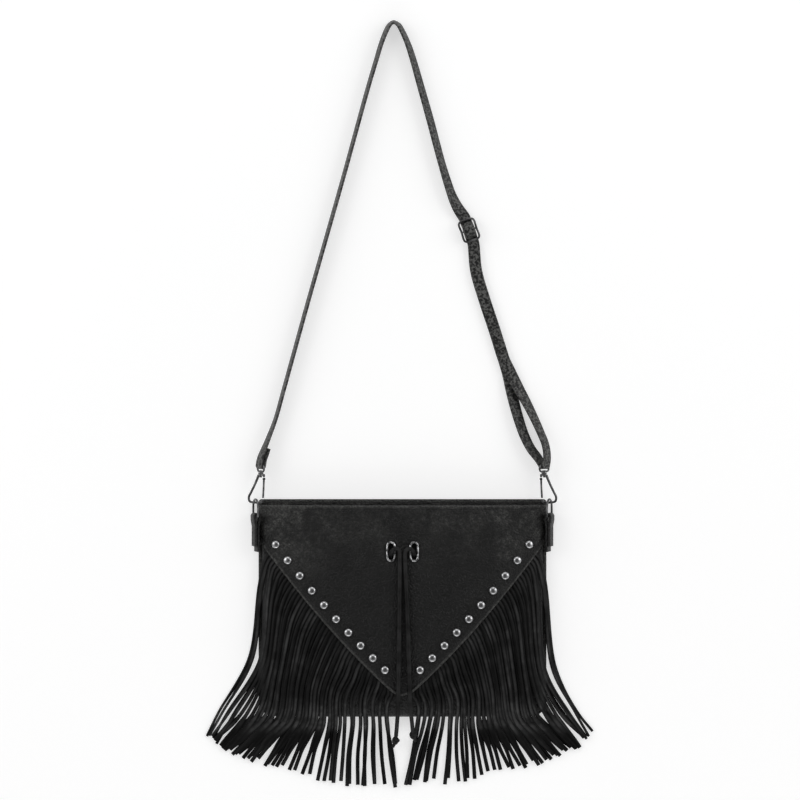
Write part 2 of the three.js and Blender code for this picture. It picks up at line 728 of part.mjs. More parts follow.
function tab() {
  const bar = ring_wire / 2 + seat_gap;
  const fold = bar + tab_ply;
  const low = tab_ply + seat_gap / 2;
  const shape = new THREE.Shape();
  shape.moveTo(-low, tab_low_y);
  shape.lineTo(low - tab_ply * 0.9, tab_low_y);
  shape.lineTo(low - tab_ply * 0.9, tab_low_y + 5);
  shape.lineTo(low, tab_low_y + 5);
  shape.lineTo(low, ring_bar_y - 9);
  shape.lineTo(fold, ring_bar_y - 2);
  shape.absarc(0, ring_bar_y, fold, 0, Math.PI, false);
  shape.lineTo(-fold, ring_bar_y - 2);
  shape.lineTo(-low, ring_bar_y - 9);
  shape.closePath();
  const hole = new THREE.Path();
  hole.moveTo(bar, ring_bar_y);
  hole.absarc(0, ring_bar_y, bar, 0, Math.PI, false);
  hole.lineTo(0, ring_bar_y - 5);
  hole.closePath();
  shape.holes.push(hole);
  const folded = new THREE.ExtrudeGeometry(shape, { depth: tab_width, bevelEnabled: false, curveSegments: 6 });
  return leaned(placed(folded, { at: [0, 0, -tab_width / 2] }));
}

function ring() {
  const half = ring_width / 2;
  const bend = 0.8;
  const shoulder = ring_top_y - half * 0.75;
  const bow = spread(6, (t) => {
    const a = Math.PI * t;
    return new V3(0, shoulder + (ring_top_y - shoulder) * Math.sin(a), half * Math.cos(a));
  });
  const points = [
    new V3(0, ring_bar_y, 0), new V3(0, ring_bar_y, half - bend), new V3(0, ring_bar_y + bend, half),
    ...bow, new V3(0, ring_bar_y + bend, -half), new V3(0, ring_bar_y, bend - half),
  ];
  return leaned(wire(points, ring_wire, true, 6, 22));
}

// Points of a hook are measured from the top of its swivel: outwards from the body, then down.
const hookPoint = ([out, up]) => new V3(swivel_x + out, hook_top_y + up, hardware_z);
const hook_line = [
  [2, 0.4], [3.3, -3.2], [5.8, -9], [9, -15.6], [11, -20],
  [10.2, 1.1 - hook_drop], [5.4, -hook_drop], [0.8, 0.1 - hook_drop], [-1.8, 1.7 - hook_drop], [-2, 2.8 - hook_drop],
];
const gate_hinge = [-2.9, -3.4];
const gate_top = [-2.8, -3.9];
const gate_foot = [-2, 4.2 - hook_drop];
const collar_height = 3.2;
const collar_radius = 2.5;
const stem_radius = 0.8;
const stem_clearance = 0.35;
const head_radius = 1.25;

const upright = (profile, facets) =>
  placed(new THREE.LatheGeometry(profile.map(([r, y]) => new THREE.Vector2(r, y)), facets), {
    at: [swivel_x, hook_top_y, hardware_z],
  });

function hook() {
  const bore = stem_radius + stem_clearance;
  const collar = upright(
    [[bore, -0.6], [collar_radius, -0.6], [collar_radius, collar_height - 0.6], [bore, collar_height - 0.6], [bore, -0.6]],
    12,
  );
  const frame = wire(hook_line.map(hookPoint), hook_wire, false, 6, 22);
  const lug = box(
    swivel_x - 3.9, swivel_x - 1.9, hook_top_y - 1.7, hook_top_y + 1.2, hardware_z - 1.1, hardware_z + 1.1,
  );
  return join(collar, frame, lug);
}

function gate() {
  const rod = wire([gate_top, [-2.5, -12], gate_foot].map(hookPoint), hook_wire * 0.85, false, 6, 4);
  const knuckle = placed(new THREE.CylinderGeometry(1.3, 1.3, 2.2, 10), {
    at: hookPoint(gate_hinge).toArray(),
    turn: [Math.PI / 2, 0, 0],
  });
  return join(rod, knuckle);
}

// The swivel eye holds the strap and turns on a headed stem inside the hook's collar.
const eye_low_y = hook_top_y + collar_height - 0.6 + seat_gap + eye_wire / 2;
const eye_bar_y = eye_low_y + eye_height;

function eye(lean) {
  const half = eye_inner / 2 + eye_wire / 2;
  const loop = [
    [0, eye_low_y], [half - 1.5, eye_low_y], [half, eye_low_y + 1.5], [half, eye_bar_y - 1.5], [half - 1.5, eye_bar_y],
    [0, eye_bar_y], [1.5 - half, eye_bar_y], [-half, eye_bar_y - 1.5], [-half, eye_low_y + 1.5], [1.5 - half, eye_low_y],
  ].map(([across, y]) => new V3(across * Math.cos(lean), y, across * Math.sin(lean)));
  const frame = placed(wire(loop, eye_wire, true, 6, 20), { at: [swivel_x, 0, hardware_z] });
  const head_top = -0.6 - stem_clearance;
  const stem = upright(
    [
      [0, head_top - 1], [head_radius, head_top - 1], [head_radius, head_top], [stem_radius, head_top],
      [stem_radius, eye_low_y - hook_top_y], [0, eye_low_y - hook_top_y],
    ],
    10,
  );
  return join(frame, stem);
}

// Strap: one flat band. It is sewn to the middle bar of its slider, runs down to the right eye and back,
// passes over the slider's middle bar, goes round the top of its loop and ends sewn round the left eye.
// A place on the strap is its middle and the angle at which its width stands up from the floor.

const strap_half = strap_width / 2;
const ply_step = strap_thick + seat_gap;
const slider_line = new V3(0.33, -0.944, 0).normalize();
const slider_bar_z = 5.8;

// The course is drawn for hooks 130.5 mm out and 123 mm up and a top at 541 mm, and moves with them.
const drawn = (x, y) => new V3(
  (x / 130.5) * swivel_x,
  lerp(hook_top_y, strap_top_y, (y - 123) / (541 - 123)),
  0,
);
const strap_slider_at = drawn(61.4, 349);

const standing = (x, y, tilt, lift = 0) => {
  const a = degToRad(tilt);
  const rest = seat_gap + strap_half * Math.abs(Math.sin(a)) + (strap_thick / 2) * Math.abs(Math.cos(a));
  return { at: drawn(x, y).setZ(rest + lift), tilt };
};

// Round the bar of an eye, down one side and up the other
function roundEye(side, lean) {
  const radius = eye_wire / 2 + seat_gap + strap_thick / 2;
  const across = new V3(-Math.sin(lean), 0, Math.cos(lean)).multiplyScalar(radius);
  const bar = new V3(side * swivel_x, eye_bar_y, hardware_z);
  return spread(6, (t) => {
    const a = Math.PI * t;
    const at = bar.clone().addScaledVector(across, Math.cos(a));
    at.y -= radius * Math.sin(a);
    return { at, width: new V3(Math.cos(lean), 0, Math.sin(lean)) };
  });
}

function throughSlider(stations) {
  const width = new V3(slider_line.y, -slider_line.x, 0);
  return stations.map(([along, z]) => ({ at: strap_slider_at.clone().addScaledVector(slider_line, along).setZ(z), width }));
}

function strapStations() {
  const loop_radius = strap_slider_wire / 2 + seat_gap + strap_thick / 2;
  const sewn_end = spread(7, (t) => {
    const a = degToRad(lerp(40, 270, t));
    return [loop_radius * Math.cos(a), slider_bar_z + loop_radius * Math.sin(a)];
  });
  const low = seat_gap + strap_thick / 2;
  const high = low + ply_step;
  const over = slider_bar_z + loop_radius + ply_step;
  const reach = strap_slider_half;
  const away = throughSlider([...sewn_end, [4.5, 2.6], [reach, low], [reach + 3, low]]);
  const inner = [
    standing(68, 312, 180), standing(75.8, 284.9, 180), standing(85, 257.2, 180), standing(93.8, 229.4, 178),
    standing(97.6, 216, 172), standing(100.2, 203, 163), standing(103.3, 189, 154), standing(107.5, 174, 148),
    standing(112.3, 160, 143, 0.4), standing(118.5, 147.5, 138, 1.2), standing(125.2, 138.5, 134, 2.1),
  ];
  const right_loop = roundEye(1, degToRad(eye_lean_deg.right));
  const outer = [
    standing(133.2, 140, 52, 3.8), standing(131.8, 151, 53, 2.2), standing(127.6, 162, 52, 1),
    standing(121.8, 175, 48, 0.3), standing(115.2, 188.5, 41), standing(108.6, 200.5, 30, 0.5),
    standing(102.6, 211.5, 14, 1.6), standing(97.4, 222, 3, ply_step), standing(93.8, 229.4, 0, ply_step),
    standing(85, 257.2, 0, ply_step), standing(75.8, 284.9, 0, ply_step), standing(68, 312, 0, ply_step),
  ];
  const back = throughSlider([
    [reach + 3, high], [reach, high], [8, 3.7], [5.4, 6.2], [3.2, 9.2], [0, over + 0.1],
    [-3.2, 9.2], [-5.4, 6.2], [-8, 3.7], [-reach, high], [-reach - 3, low + 0.4],
  ]);
  const limb = [
    standing(51.9, 368.6, 20), standing(47.9, 376, 34), standing(44.6, 384, 45), standing(36.5, 409.8, 54), standing(25.4, 451.4, 54),
    standing(17.6, 479.2, 56), standing(9.7, 506.9, 60), standing(5.1, 520.8, 63), standing(-0.6, 533.6, 66),
    standing(-3.9, 538.8, 67), standing(-8.3, 541, 68), standing(-12.2, 538.2, 68), standing(-14.8, 533.6, 68),
    standing(-20.4, 520.8, 71), standing(-25, 506.9, 74), standing(-33.3, 479.2, 76), standing(-56, 395.9, 79),
    standing(-87.4, 284.9, 79), standing(-110.1, 201.7, 79), standing(-117.9, 173.9, 77),
    standing(-123.4, 158, 70, 0.8), standing(-127.8, 147, 65, 1.8), standing(-131, 139, 62, 3.2),
  ];
  const lean = degToRad(eye_lean_deg.left);
  const left_loop = roundEye(-1, lean);
  const turned = new V3(Math.sin(lean), 0, -Math.cos(lean));
  const tail = [[137, 1.6, 1.3], [142, 2.1, 2.6], [148, 2.2, 4.3]].map(([y, out, drift]) => ({
    at: new V3(-swivel_x + drift, y, hardware_z).addScaledVector(turned, out),
    width: left_loop[0].width,
  }));
  return [...away, ...inner, ...right_loop, ...outer, ...back, ...limb, ...left_loop, ...tail];
}

function strap() {
  const stations = strapStations();
  const count = stations.length - 1;
  const places = new THREE.CatmullRomCurve3(stations.map((s) => s.at), false, 'centripetal');
  const rings = spread(count, (t) => {
    const at = places.getPoint(t);
    const ahead = places.getTangent(t);
    const flat = new V3(ahead.x, ahead.y, 0).normalize();
    const normal = new V3(-flat.y, flat.x, 0);
    const station = stations[Math.round(t * count)];
    const a = degToRad(station.tilt);
    const width = station.width?.clone() ?? normal.clone().multiplyScalar(Math.cos(a)).setZ(Math.sin(a));
    const thick = new V3().crossVectors(ahead, width).normalize();
    width.crossVectors(thick, ahead).normalize();
    return [[1, 1], [-1, 1], [-1, -1], [1, -1]].map(([w, h]) =>
      at.clone().addScaledVector(width, w * strap_half).addScaledVector(thick, (h * strap_thick) / 2));
  });
  return loft(rings);
}

// The slider is a frame of round wire with a bar across its middle.
function strapSlider() {
  const across = strap_half + strap_slider_gap + strap_slider_wire / 2;
  const bend = 1.5;
  const along = strap_slider_half;
  const corners = [
    [along, 0], [along, across - bend], [along - bend, across], [0, across], [bend - along, across],
    [-along, across - bend], [-along, bend - across], [bend - along, -across], [0, -across],
    [along - bend, -across], [along, bend - across],
  ];
  const frame = wire(corners.map(([d, w]) => new V3(d, w, 0)), strap_slider_wire, true, 6, 26);
  const bar = wire([new V3(0, -across, 0), new V3(0, 0, 0), new V3(0, across, 0)], strap_slider_wire * 0.9, false, 6, 2);
  const heading = Math.atan2(slider_line.y, slider_line.x);
  return placed(join(frame, bar), {
    at: [strap_slider_at.x, strap_slider_at.y, slider_bar_z],
    turn: [0, 0, heading],
  });
}

addMesh('back_panel', backPanel(), leather);
addMesh('front_panel', frontPanel(), leather);
addMesh('lining', lining(), cloth);
addMesh('v_panel', vPanel(), leather);
addMesh('fringe_left', fringe(fringe_sides.left), suede);
addMesh('fringe_right', fringe(fringe_sides.right), suede);
for (const [name, side] of [['left', -1], ['right', 1]]) {
  studSpots(side).forEach((spot, i) => addMesh(`stud_${name}_${i + 1}`, stoodOn(stud(), spot), metal));
  addMesh(`eyelet_${name}`, eyelet(side), brass);
  addMesh(`lace_${name}`, wire(lacePoints(name), lace_diameter, false, 8, 32), suede);
  addMesh(`lace_knot_${name}`, knot(name), suede);
  addMesh(`side_tab_${name}`, sidePart(tab(), side), leather);
  addMesh(`ring_${name}`, sidePart(ring(), side), metal);
  addMesh(`hook_${name}`, sidePart(hook(), side), metal);
  addMesh(`hook_gate_${name}`, sidePart(gate(), side), metal);
  addMesh(`swivel_eye_${name}`, sidePart(eye(side * degToRad(eye_lean_deg[name])), side), metal);
}
addMesh('strap', strap(), leather);
addMesh('strap_slider', strapSlider(), metal);
addMesh('zip_tape_front', frontTape(), cloth);
addMesh('zip_tape_back', backTape(), cloth);
addMesh('zip_teeth_front', teeth(1), brass);
addMesh('zip_teeth_back', teeth(-1), brass);
addMesh('zip_slider', zipSlider(), metal);
addMesh('zip_pull', zipPull(), metal);
addMesh('zip_stop_closed', zipStop(1), metal);
addMesh('zip_stop_open', zipStop(-1), metal);

export default bag;
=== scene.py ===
import random
from math import atan2, copysign, cos, exp, hypot, pi, radians, sin, sqrt

import bmesh
import bpy
from mathutils import Matrix, Vector


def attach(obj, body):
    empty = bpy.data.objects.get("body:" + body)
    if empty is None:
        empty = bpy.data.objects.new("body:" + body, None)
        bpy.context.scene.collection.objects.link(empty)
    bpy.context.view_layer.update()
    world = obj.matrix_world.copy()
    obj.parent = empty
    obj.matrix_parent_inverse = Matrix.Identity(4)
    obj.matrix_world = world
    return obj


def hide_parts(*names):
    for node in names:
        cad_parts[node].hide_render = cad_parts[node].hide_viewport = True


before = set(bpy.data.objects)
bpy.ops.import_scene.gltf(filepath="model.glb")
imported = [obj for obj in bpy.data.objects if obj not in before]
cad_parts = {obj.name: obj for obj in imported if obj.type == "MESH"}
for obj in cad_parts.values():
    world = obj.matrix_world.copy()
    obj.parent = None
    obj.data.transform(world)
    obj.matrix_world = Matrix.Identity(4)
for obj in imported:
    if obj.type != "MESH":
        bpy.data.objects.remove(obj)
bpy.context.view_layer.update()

# Sizes are in millimetres, as in the bag's solids. MM turns them into metres.
MM = 0.001
SIDES = {"left": -1, "right": 1}
SEAT_GAP = 0.3

# Body
HALF_WIDTH = 129.5
BOTTOM_Y = -100
MOUTH_Y = 95.5
BACK_RISE = 5.3
BACK_THICK = 1.8
FRONT_THICK = 1.6
LINING_THICK = 0.7
SEAM_Z = BACK_THICK + SEAT_GAP
BELLY_SWELL = 22
MOUTH_SWELL = 13
BOTTOM_ROUND = 62
CORNER_RADIUS = 14
SWELL_POWER = 2.8

# V panel, with its folded hem
PANEL_THICK = 1.4
PANEL_LIFT = 2.2
PANEL_GROW = PANEL_LIFT + PANEL_THICK
V_CORNER = (HALF_WIDTH + 2.5, 61.5)
V_BOW = (72, -17.85)
V_END = (12, -73)
V_TIP_DROP = 5.5
HEM = 3.2

STUDS_PER_SIDE = 10
STUD_RADIUS = 4
STUD_HEIGHT = 2.6
STUD_RIM = 0.55
STUD_INSET = 11.2
STUD_FIRST_X = V_CORNER[0] - 15.4
STUD_LAST_X = V_END[0] + 3.9

STRIPS_PER_SIDE = 44
STRIP_WIDTH = 3.5
STRIP_THICK = 0.95
STRIP_CLEARANCE = 0.6
FRINGE_SIDE_GAP = 5
FALL_SLOPE = 0.9

EYELET_X = 10.6
EYELET_Y = 53.5
EYELET_WIDTH = 9
EYELET_LENGTH = 19
EYELET_RIM = 2.2
LACE_DIAMETER = 3.8

ZIP_Y = MOUTH_Y - 9.5
ZIP_Z = 6.2
ZIP_HALF_LENGTH = 98
TAPE_BACK_Y = ZIP_Y - 6
TAPE_FRONT_Y = ZIP_Y + 2
TAPE_THICK = 0.8
LINING_TOP_Y = TAPE_BACK_Y - 2
SLIDER_ROOM = 3
TOOTH_PITCH = 2.8

# Side tabs, rings and hooks
TAB_WIDTH = 12
TAB_PLY = 2
TAB_LEAN = radians(20)
RING_WIRE = 2
RING_BAR_Y = MOUTH_Y - 10.3
RING_TOP_Y = RING_BAR_Y + 15.7
RING_WIDTH = TAB_WIDTH + 2 * SEAT_GAP + RING_WIRE + 0.4
TAB_LOW_Y = RING_BAR_Y - 32.5
HARDWARE_X = HALF_WIDTH + 5.8
HARDWARE_Z = 8.7
SWIVEL_X = HALF_WIDTH + 1
HOOK_WIRE = 2.2
HOOK_TOP_Y = 123
SWIVEL_AT = Vector((SWIVEL_X, HOOK_TOP_Y, HARDWARE_Z))
EYE_WIRE = 1.8
EYE_INNER = 12
EYE_LOW_Y = HOOK_TOP_Y + 3.8
EYE_BAR_Y = EYE_LOW_Y + 5
EYE_LEAN = {"left": radians(62), "right": radians(130)}

STRAP_WIDTH = 11
STRAP_THICK = 1.8
SLIDER_AT = Vector((61.4, 349, 0))
SLIDER_LINE = Vector((0.33, -0.944, 0)).normalized()
SLIDER_HALF = 9.5
SLIDER_WIRE = 2
SLIDER_GAP = 0.7
SLIDER_BAR_Z = 5.8


def lerp(a, b, t):
    return a + (b - a) * t


def clamp(v, low, high):
    return max(low, min(high, v))


def smooth(v, low, high):
    t = clamp((v - low) / (high - low), 0, 1)
    return t * t * (3 - 2 * t)


def spread(count, first=0, last=1):
    """Evenly spaced values from the first to the last."""
    return [lerp(first, last, i / count) for i in range(count + 1)]


def around(count):
    """Evenly spaced angles around a circle."""
    return [2 * pi * k / count for k in range(count)]


def put(name, data):
    """A new object in the scene."""
    obj = bpy.data.objects.new(name, data)
    bpy.context.scene.collection.objects.link(obj)
    return obj


# Camera, straight above the bag


def make_camera():
    data = bpy.data.cameras.new("camera")
    data.lens = 100
    data.sensor_width = 36
    data.clip_end = 20
    camera = put("camera", data)
    camera.location = (-0.0023, 0.1924, 2.056)
    bpy.context.scene.camera = camera


make_camera()


# The stuffed body's surface. grow is the distance out from the front panel's outer face.


def side_at(y, grow):
    """Half the body's width, less at the round bottom corners."""
    depth = CORNER_RADIUS - (y - (BOTTOM_Y - grow))
    inset = 0
    if depth > 0:
        inset = CORNER_RADIUS - sqrt(max(CORNER_RADIUS**2 - depth**2, 0))
    return HALF_WIDTH + grow - inset


def swell_at(y, grow):
    """The body's height over its seam, fullest at the belly."""
    along = clamp((y - (BOTTOM_Y - grow)) / BOTTOM_ROUND, 0, 1)
    rounding = (1 - (1 - along) ** SWELL_POWER) ** (1 / SWELL_POWER)
    narrowing = smooth(y, BOTTOM_Y + BOTTOM_ROUND, MOUTH_Y)
    return (lerp(BELLY_SWELL, MOUTH_SWELL, narrowing) + grow) * rounding


def body_point(angle, y, grow, base=SEAM_Z):
    """A point on the cross-section at y: 0 is its right end, pi its left end."""
    c = cos(angle)
    share = copysign(abs(c) ** (2 / SWELL_POWER), c)
    lift = abs(sin(angle)) ** (2 / SWELL_POWER)
    height = max(swell_at(y, grow) - (base - SEAM_Z), 0) * lift
    return Vector((side_at(y, grow) * share, y, base + height))


def surface_z(x, y, grow):
    side = side_at(y, grow)
    if y <= BOTTOM_Y - grow or abs(x) >= side or y > MOUTH_Y:
        return 0
    return SEAM_Z + swell_at(y, grow) * (1 - (abs(x) / side) ** SWELL_POWER) ** (1 / SWELL_POWER)


def on_panel(x, y, grow=PANEL_GROW):
    """A point on the surface and the direction straight out of it."""
    step = 0.5
    dx = (surface_z(x + step, y, grow) - surface_z(x - step, y, grow)) / (2 * step)
    dy = (surface_z(x, y + step, grow) - surface_z(x, y - step, grow)) / (2 * step)
    return Vector((x, y, surface_z(x, y, grow))), Vector((-dx, -dy, 1)).normalized()


def v_edge_y(x):
    """The V's edge: a bowed line on each side and a rounded tip."""
    across = abs(x)
    if across < V_END[0]:
        return V_END[1] - V_TIP_DROP * (1 - (across / V_END[0]) ** 2)
    s = (V_CORNER[0] - across) / (V_CORNER[0] - V_END[0])
    return (1 - s) ** 2 * V_CORNER[1] + 2 * s * (1 - s) * V_BOW[1] + s * s * V_END[1]


def v_stretch(x):
    """How much longer a distance square to the V edge is along Y."""
    return hypot(1, (v_edge_y(x + 1) - v_edge_y(x - 1)) / 2)


# Pieces


def dress(obj, body, replaces):
    """Ties a piece to its body and the solids that it takes the place of."""
    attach(obj, body)
    if replaces:
        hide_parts(*replaces)


def note_tones(obj, tones):
    """Notes how light each point is, or all of them, for the materials to read."""
    values = obj.data.attributes.new("tone", "FLOAT", "POINT").data
    if not isinstance(tones, list):
        tones = [tones] * len(values)
    for entry, tone in zip(values, tones):
        entry.value = tone


def sharpen(obj, degrees):
    """Keeps the edges sharper than this angle crisp on a smooth-shaded piece."""
    obj.data.set_sharp_from_angle(angle=radians(degrees))


def add_piece(name, shape, look, replaces=(), body="bag", crisp=None, tones=None):
    """One piece of the scene. Its look is a material with its slot, and the slot is not used. Edges sharper
    than crisp, in degrees, stay sharp, and 0 leaves every face flat."""
    material, slot = look
    mesh = bpy.data.meshes.new(name)
    mesh.from_pydata([Vector(p) * MM for p in shape.points], [], shape.faces)
    clean = bmesh.new()
    clean.from_mesh(mesh)
    bmesh.ops.remove_doubles(clean, verts=clean.verts, dist=1e-6)
    bmesh.ops.recalc_face_normals(clean, faces=clean.faces)
    clean.to_mesh(mesh)
    clean.free()
    mesh.materials.append(material)
    for polygon in mesh.polygons:
        polygon.use_smooth = crisp != 0
    obj = put(name, mesh)
    dress(obj, body, replaces)
    if tones is not None:
        note_tones(obj, tones)
    if crisp:
        sharpen(obj, crisp)
    return obj


# Shapes


def loft(rings, closed=False):
    """Points and faces that skin a list of equal rings, with both ends capped unless the run is closed."""
    count = len(rings[0])
    points = [p for ring in rings for p in ring]
    faces = []
    for j in range(len(rings) if closed else len(rings) - 1):
        k = (j + 1) % len(rings)
        for i in range(count):
            n = (i + 1) % count
            faces.append([j * count + i, j * count + n, k * count + n, k * count + i])
    if not closed:
        end = (len(rings) - 1) * count
        faces.append(list(reversed(range(count))))
        faces.append([end + i for i in range(count)])
    return points, faces


def with_ends(points):
    """The points with one more at each end, so that a curve runs through all of them."""
    return [points[0] * 2 - points[1]] + points + [points[-1] * 2 - points[-2]]


def curve_part(p, samples):
    """The part of a centripetal Catmull-Rom curve from the second of four points up to the third."""
    knots = [0.0]
    for a, b in zip(p, p[1:]):
        knots.append(knots[-1] + max((b - a).length, 1e-6) ** 0.5)

    def blend(a, b, low, high, t):
        return a * ((high - t) / (high - low)) + b * ((t - low) / (high - low))

    out = []
    for k in range(samples):
        t = lerp(knots[1], knots[2], k / samples)
        near = [blend(p[j], p[j + 1], knots[j], knots[j + 1], t) for j in range(3)]
        wide = [blend(near[j], near[j + 1], knots[j], knots[j + 2], t) for j in range(2)]
        out.append(blend(*wide, knots[1], knots[2], t))
    return out


def curve_points(points, samples, closed=False):
    """A curve through the points, sampled evenly along its length."""
    pts = [Vector(p) for p in points]
    pts = [pts[-1]] + pts + [pts[0], pts[1]] if closed else with_ends(pts)
    dense = []
    for i in range(len(pts) - 3):
        dense += curve_part(pts[i:i + 4], 16)
    return even(dense + [pts[-2]], samples, closed)


def length_of(path):
    return sum((b - a).length for a, b in zip(path, path[1:]))


def even(dense, samples, closed=False):
    """The same line with evenly spaced points."""
    lengths = [0.0]
    for a, b in zip(dense, dense[1:]):
        lengths.append(lengths[-1] + (b - a).length)
    out = []
    j = 0
    for i in range(samples if closed else samples + 1):
        goal = lengths[-1] * i / samples
        while j < len(lengths) - 2 and lengths[j + 1] < goal:
            j += 1
        span = lengths[j + 1] - lengths[j]
        out.append(dense[j].lerp(dense[j + 1], clamp((goal - lengths[j]) / span if span else 0, 0, 1)))
    return out


def tube_rings(path, radius, closed=False, sides=14):
    """Rings of a round wire. radius is a number or a function of the share of the length."""
    count = len(path)
    normal = None
    rings = []
    for i, at in enumerate(path):
        before = path[i - 1] if i or closed else at
        after = path[(i + 1) % count] if i < count - 1 or closed else at
        ahead = (after - before).normalized()
        if normal is None:
            normal = ahead.orthogonal().normalized()
        normal = (normal - ahead * normal.dot(ahead)).normalized()
        across = ahead.cross(normal)
        r = radius(i / (count - 1)) if callable(radius) else radius
        rings.append([at + (normal * cos(a) + across * sin(a)) * r for a in around(sides)])
    if closed:
        take_up_turn(path, rings)
    return rings


def take_up_turn(path, rings):
    """Spreads the turn between a closed tube's last ring and its first over the whole length."""
    first, last = rings[0], rings[-1]
    count, sides = len(rings), len(first)

    def apart(turn):
        return sum((last[(i + turn) % sides] - first[i]).length for i in range(sides))

    turn = -2 * pi * min(range(sides), key=apart) / sides
    for j, at in enumerate(path):
        axis = (path[(j + 1) % count] - path[j - 1]).normalized()
        spin = Matrix.Rotation(turn * j / count, 3, axis)
        rings[j] = [at + spin @ (p - at) for p in rings[j]]


def turned(profile, segments=32):
    """Rings of a shape turned about +Z from a list of radius and height."""
    return [[Vector((r * cos(a), r * sin(a), h)) for a in around(segments)] for r, h in profile]


class Build:
    """Gathers closed shapes into the points and faces of one piece."""

    def __init__(self):
        self.points = []
        self.faces = []

    def add(self, points, faces):
        offset = len(self.points)
        self.points += points
        self.faces += [[offset + a for a in face] for face in faces]
        return self

    def loft(self, rings, closed=False):
        return self.add(*loft(rings, closed))

    def tube(self, points, radius, samples, closed=False, sides=14):
        return self.loft(tube_rings(curve_points(points, samples, closed), radius, closed, sides), closed)

    def box(self, centre, size, edge):
        """A box with chamfered edges: four rings of eight points."""
        hx, hy, hz = (s / 2 for s in size)
        rings = []
        for z, inset in ((-hz, edge), (edge - hz, 0), (hz - edge, 0), (hz, edge)):
            x, y = hx - inset, hy - inset
            c, d = x - edge, y - edge
            corners = [(c, -y), (x, -d), (x, d), (c, y), (-c, y), (-x, d), (-x, -d), (-c, -y)]
            rings.append([Vector(centre) + Vector((a, b, z)) for a, b in corners])
        return self.loft(rings)

    def stitches(self, path, normals, pitch, length, radius, sink=0.05):
        """Thread along a path: one small bead for every stitch."""
        count = max(int(length_of(path) / pitch), 1)
        centres = even(path, count * 2)
        for k in range(count):
            at = centres[2 * k + 1]
            ahead = (centres[2 * k + 2] - centres[2 * k]).normalized()
            near = min(range(len(path)), key=lambda i: (path[i] - at).length)
            out = normals[near]
            across = ahead.cross(out).normalized()
            rings = []
            for along, share in ((-0.5, 0.35), (-0.36, 0.9), (0, 1), (0.36, 0.9), (0.5, 0.35)):
                middle = at + ahead * (along * length) + out * (radius * 0.35 - sink - 0.2 * abs(along))
                bead = [across * cos(a) + out * sin(a) * 0.8 for a in around(6)]
                rings.append([middle + p * (radius * share) for p in bead])
            self.loft(rings)
        return self

    def mirrored(self, side):
        self.points = [Vector((side * p[0], p[1], p[2])) for p in self.points]
        return self


# Materials, all from nodes


def fill_ramp(ramp, stops):
    """Sets a ramp from pairs of a place and a grey or a colour."""
    while len(ramp.elements) < len(stops):
        ramp.elements.new(0.5)
    for element, (place, value) in zip(ramp.elements, stops):
        element.position = place
        colour = value if isinstance(value, tuple) else (value,) * 3
        element.color = (*colour, 1)


class Shader:
    """A material, with short calls for the nodes that it is made of."""

    def __init__(self, name):
        self.material = bpy.data.materials.new(name)
        self.material.use_nodes = True
        self.tree = self.material.node_tree
        self.surface = self.tree.nodes["Principled BSDF"]
        self.coords = self.node("ShaderNodeTexCoord").outputs["Object"]

    def feed(self, socket, value):
        """Links a socket to a node's output, or sets it to a number, a vector or a colour."""
        if hasattr(value, "links"):
            self.tree.links.new(value, socket)
        else:
            socket.default_value = (*value, 1) if socket.type == "RGBA" else value

    def node(self, kind, inputs=None, **settings):
        made = self.tree.nodes.new(kind)
        for key, value in settings.items():
            setattr(made, key, value)
        for key, value in (inputs or {}).items():
            self.feed(made.inputs[key], value)
        return made

    def set(self, **values):
        for key, value in values.items():
            self.feed(self.surface.inputs[key.replace("_", " ")], value)
        return self

    def noise(self, scale, detail=3, roughness=0.5, coords=None, output="Fac"):
        inputs = {"Vector": coords or self.coords, "Scale": scale, "Detail": detail, "Roughness": roughness}
        return self.node("ShaderNodeTexNoise", inputs).outputs[output]

    def cells(self, scale, coords=None):
        inputs = {"Vector": coords or self.coords, "Scale": scale, "Smoothness": 0.4}
        return self.node("ShaderNodeTexVoronoi", inputs, feature="SMOOTH_F1").outputs["Distance"]

    def stretched(self, scale):
        return self.node("ShaderNodeMapping", {"Vector": self.coords, "Scale": scale}).outputs["Vector"]

    def tone(self):
        """The lightness that was noted on the piece's points."""
        return self.node("ShaderNodeAttribute", attribute_name="tone").outputs["Fac"]

    def ramp(self, source, *stops):
        made = self.node("ShaderNodeValToRGB", {"Fac": source})
        fill_ramp(made.color_ramp, stops)
        return made.outputs["Color"]

    def sum(self, a, b, how="ADD"):
        made = self.node("ShaderNodeMath", operation=how)
        self.feed(made.inputs[0], a)
        self.feed(made.inputs[1], b)
        return made.outputs[0]

    def times(self, a, b):
        return self.sum(a, b, "MULTIPLY")

    def mix(self, factor, a, b, kind="RGBA"):
        made = self.node("ShaderNodeMix", data_type=kind)
        sockets = {socket.name: socket for socket in made.inputs if socket.enabled}
        for name, value in (("Factor", factor), ("A", a), ("B", b)):
            self.feed(sockets[name], value)
        return next(socket for socket in made.outputs if socket.enabled)

    def span(self, source, low, high, out_low=0, out_high=1):
        inputs = {"Value": source, "From Min": low, "From Max": high, "To Min": out_low, "To Max": out_high}
        return self.node("ShaderNodeMapRange", inputs, interpolation_type="SMOOTHSTEP").outputs["Result"]

    def painted_highlight_area(self):
        """Where a painted highlight lightens the grain in mottled patches: the upper part of the bag and
        its corners.
        """
        place = self.node("ShaderNodeSeparateXYZ", {"Vector": self.coords}).outputs
        across = self.sum(place["X"], 0, "ABSOLUTE")
        upper = self.span(place["Y"], 0.02, 0.095, 0, 0.62)
        corner = self.times(self.span(across, 0.05, 0.125), self.span(place["Y"], -0.03, 0.08))
        patchy = self.span(self.noise(38, 5, 0.7), 0.42, 0.62, 0.15, 1.15)
        return self.times(self.sum(upper, self.times(corner, 0.9)), patchy)

    def bump(self, height, strength, distance):
        made = self.node("ShaderNodeBump", {"Height": height, "Strength": strength, "Distance": distance})
        return self.set(Normal=made.outputs["Normal"])


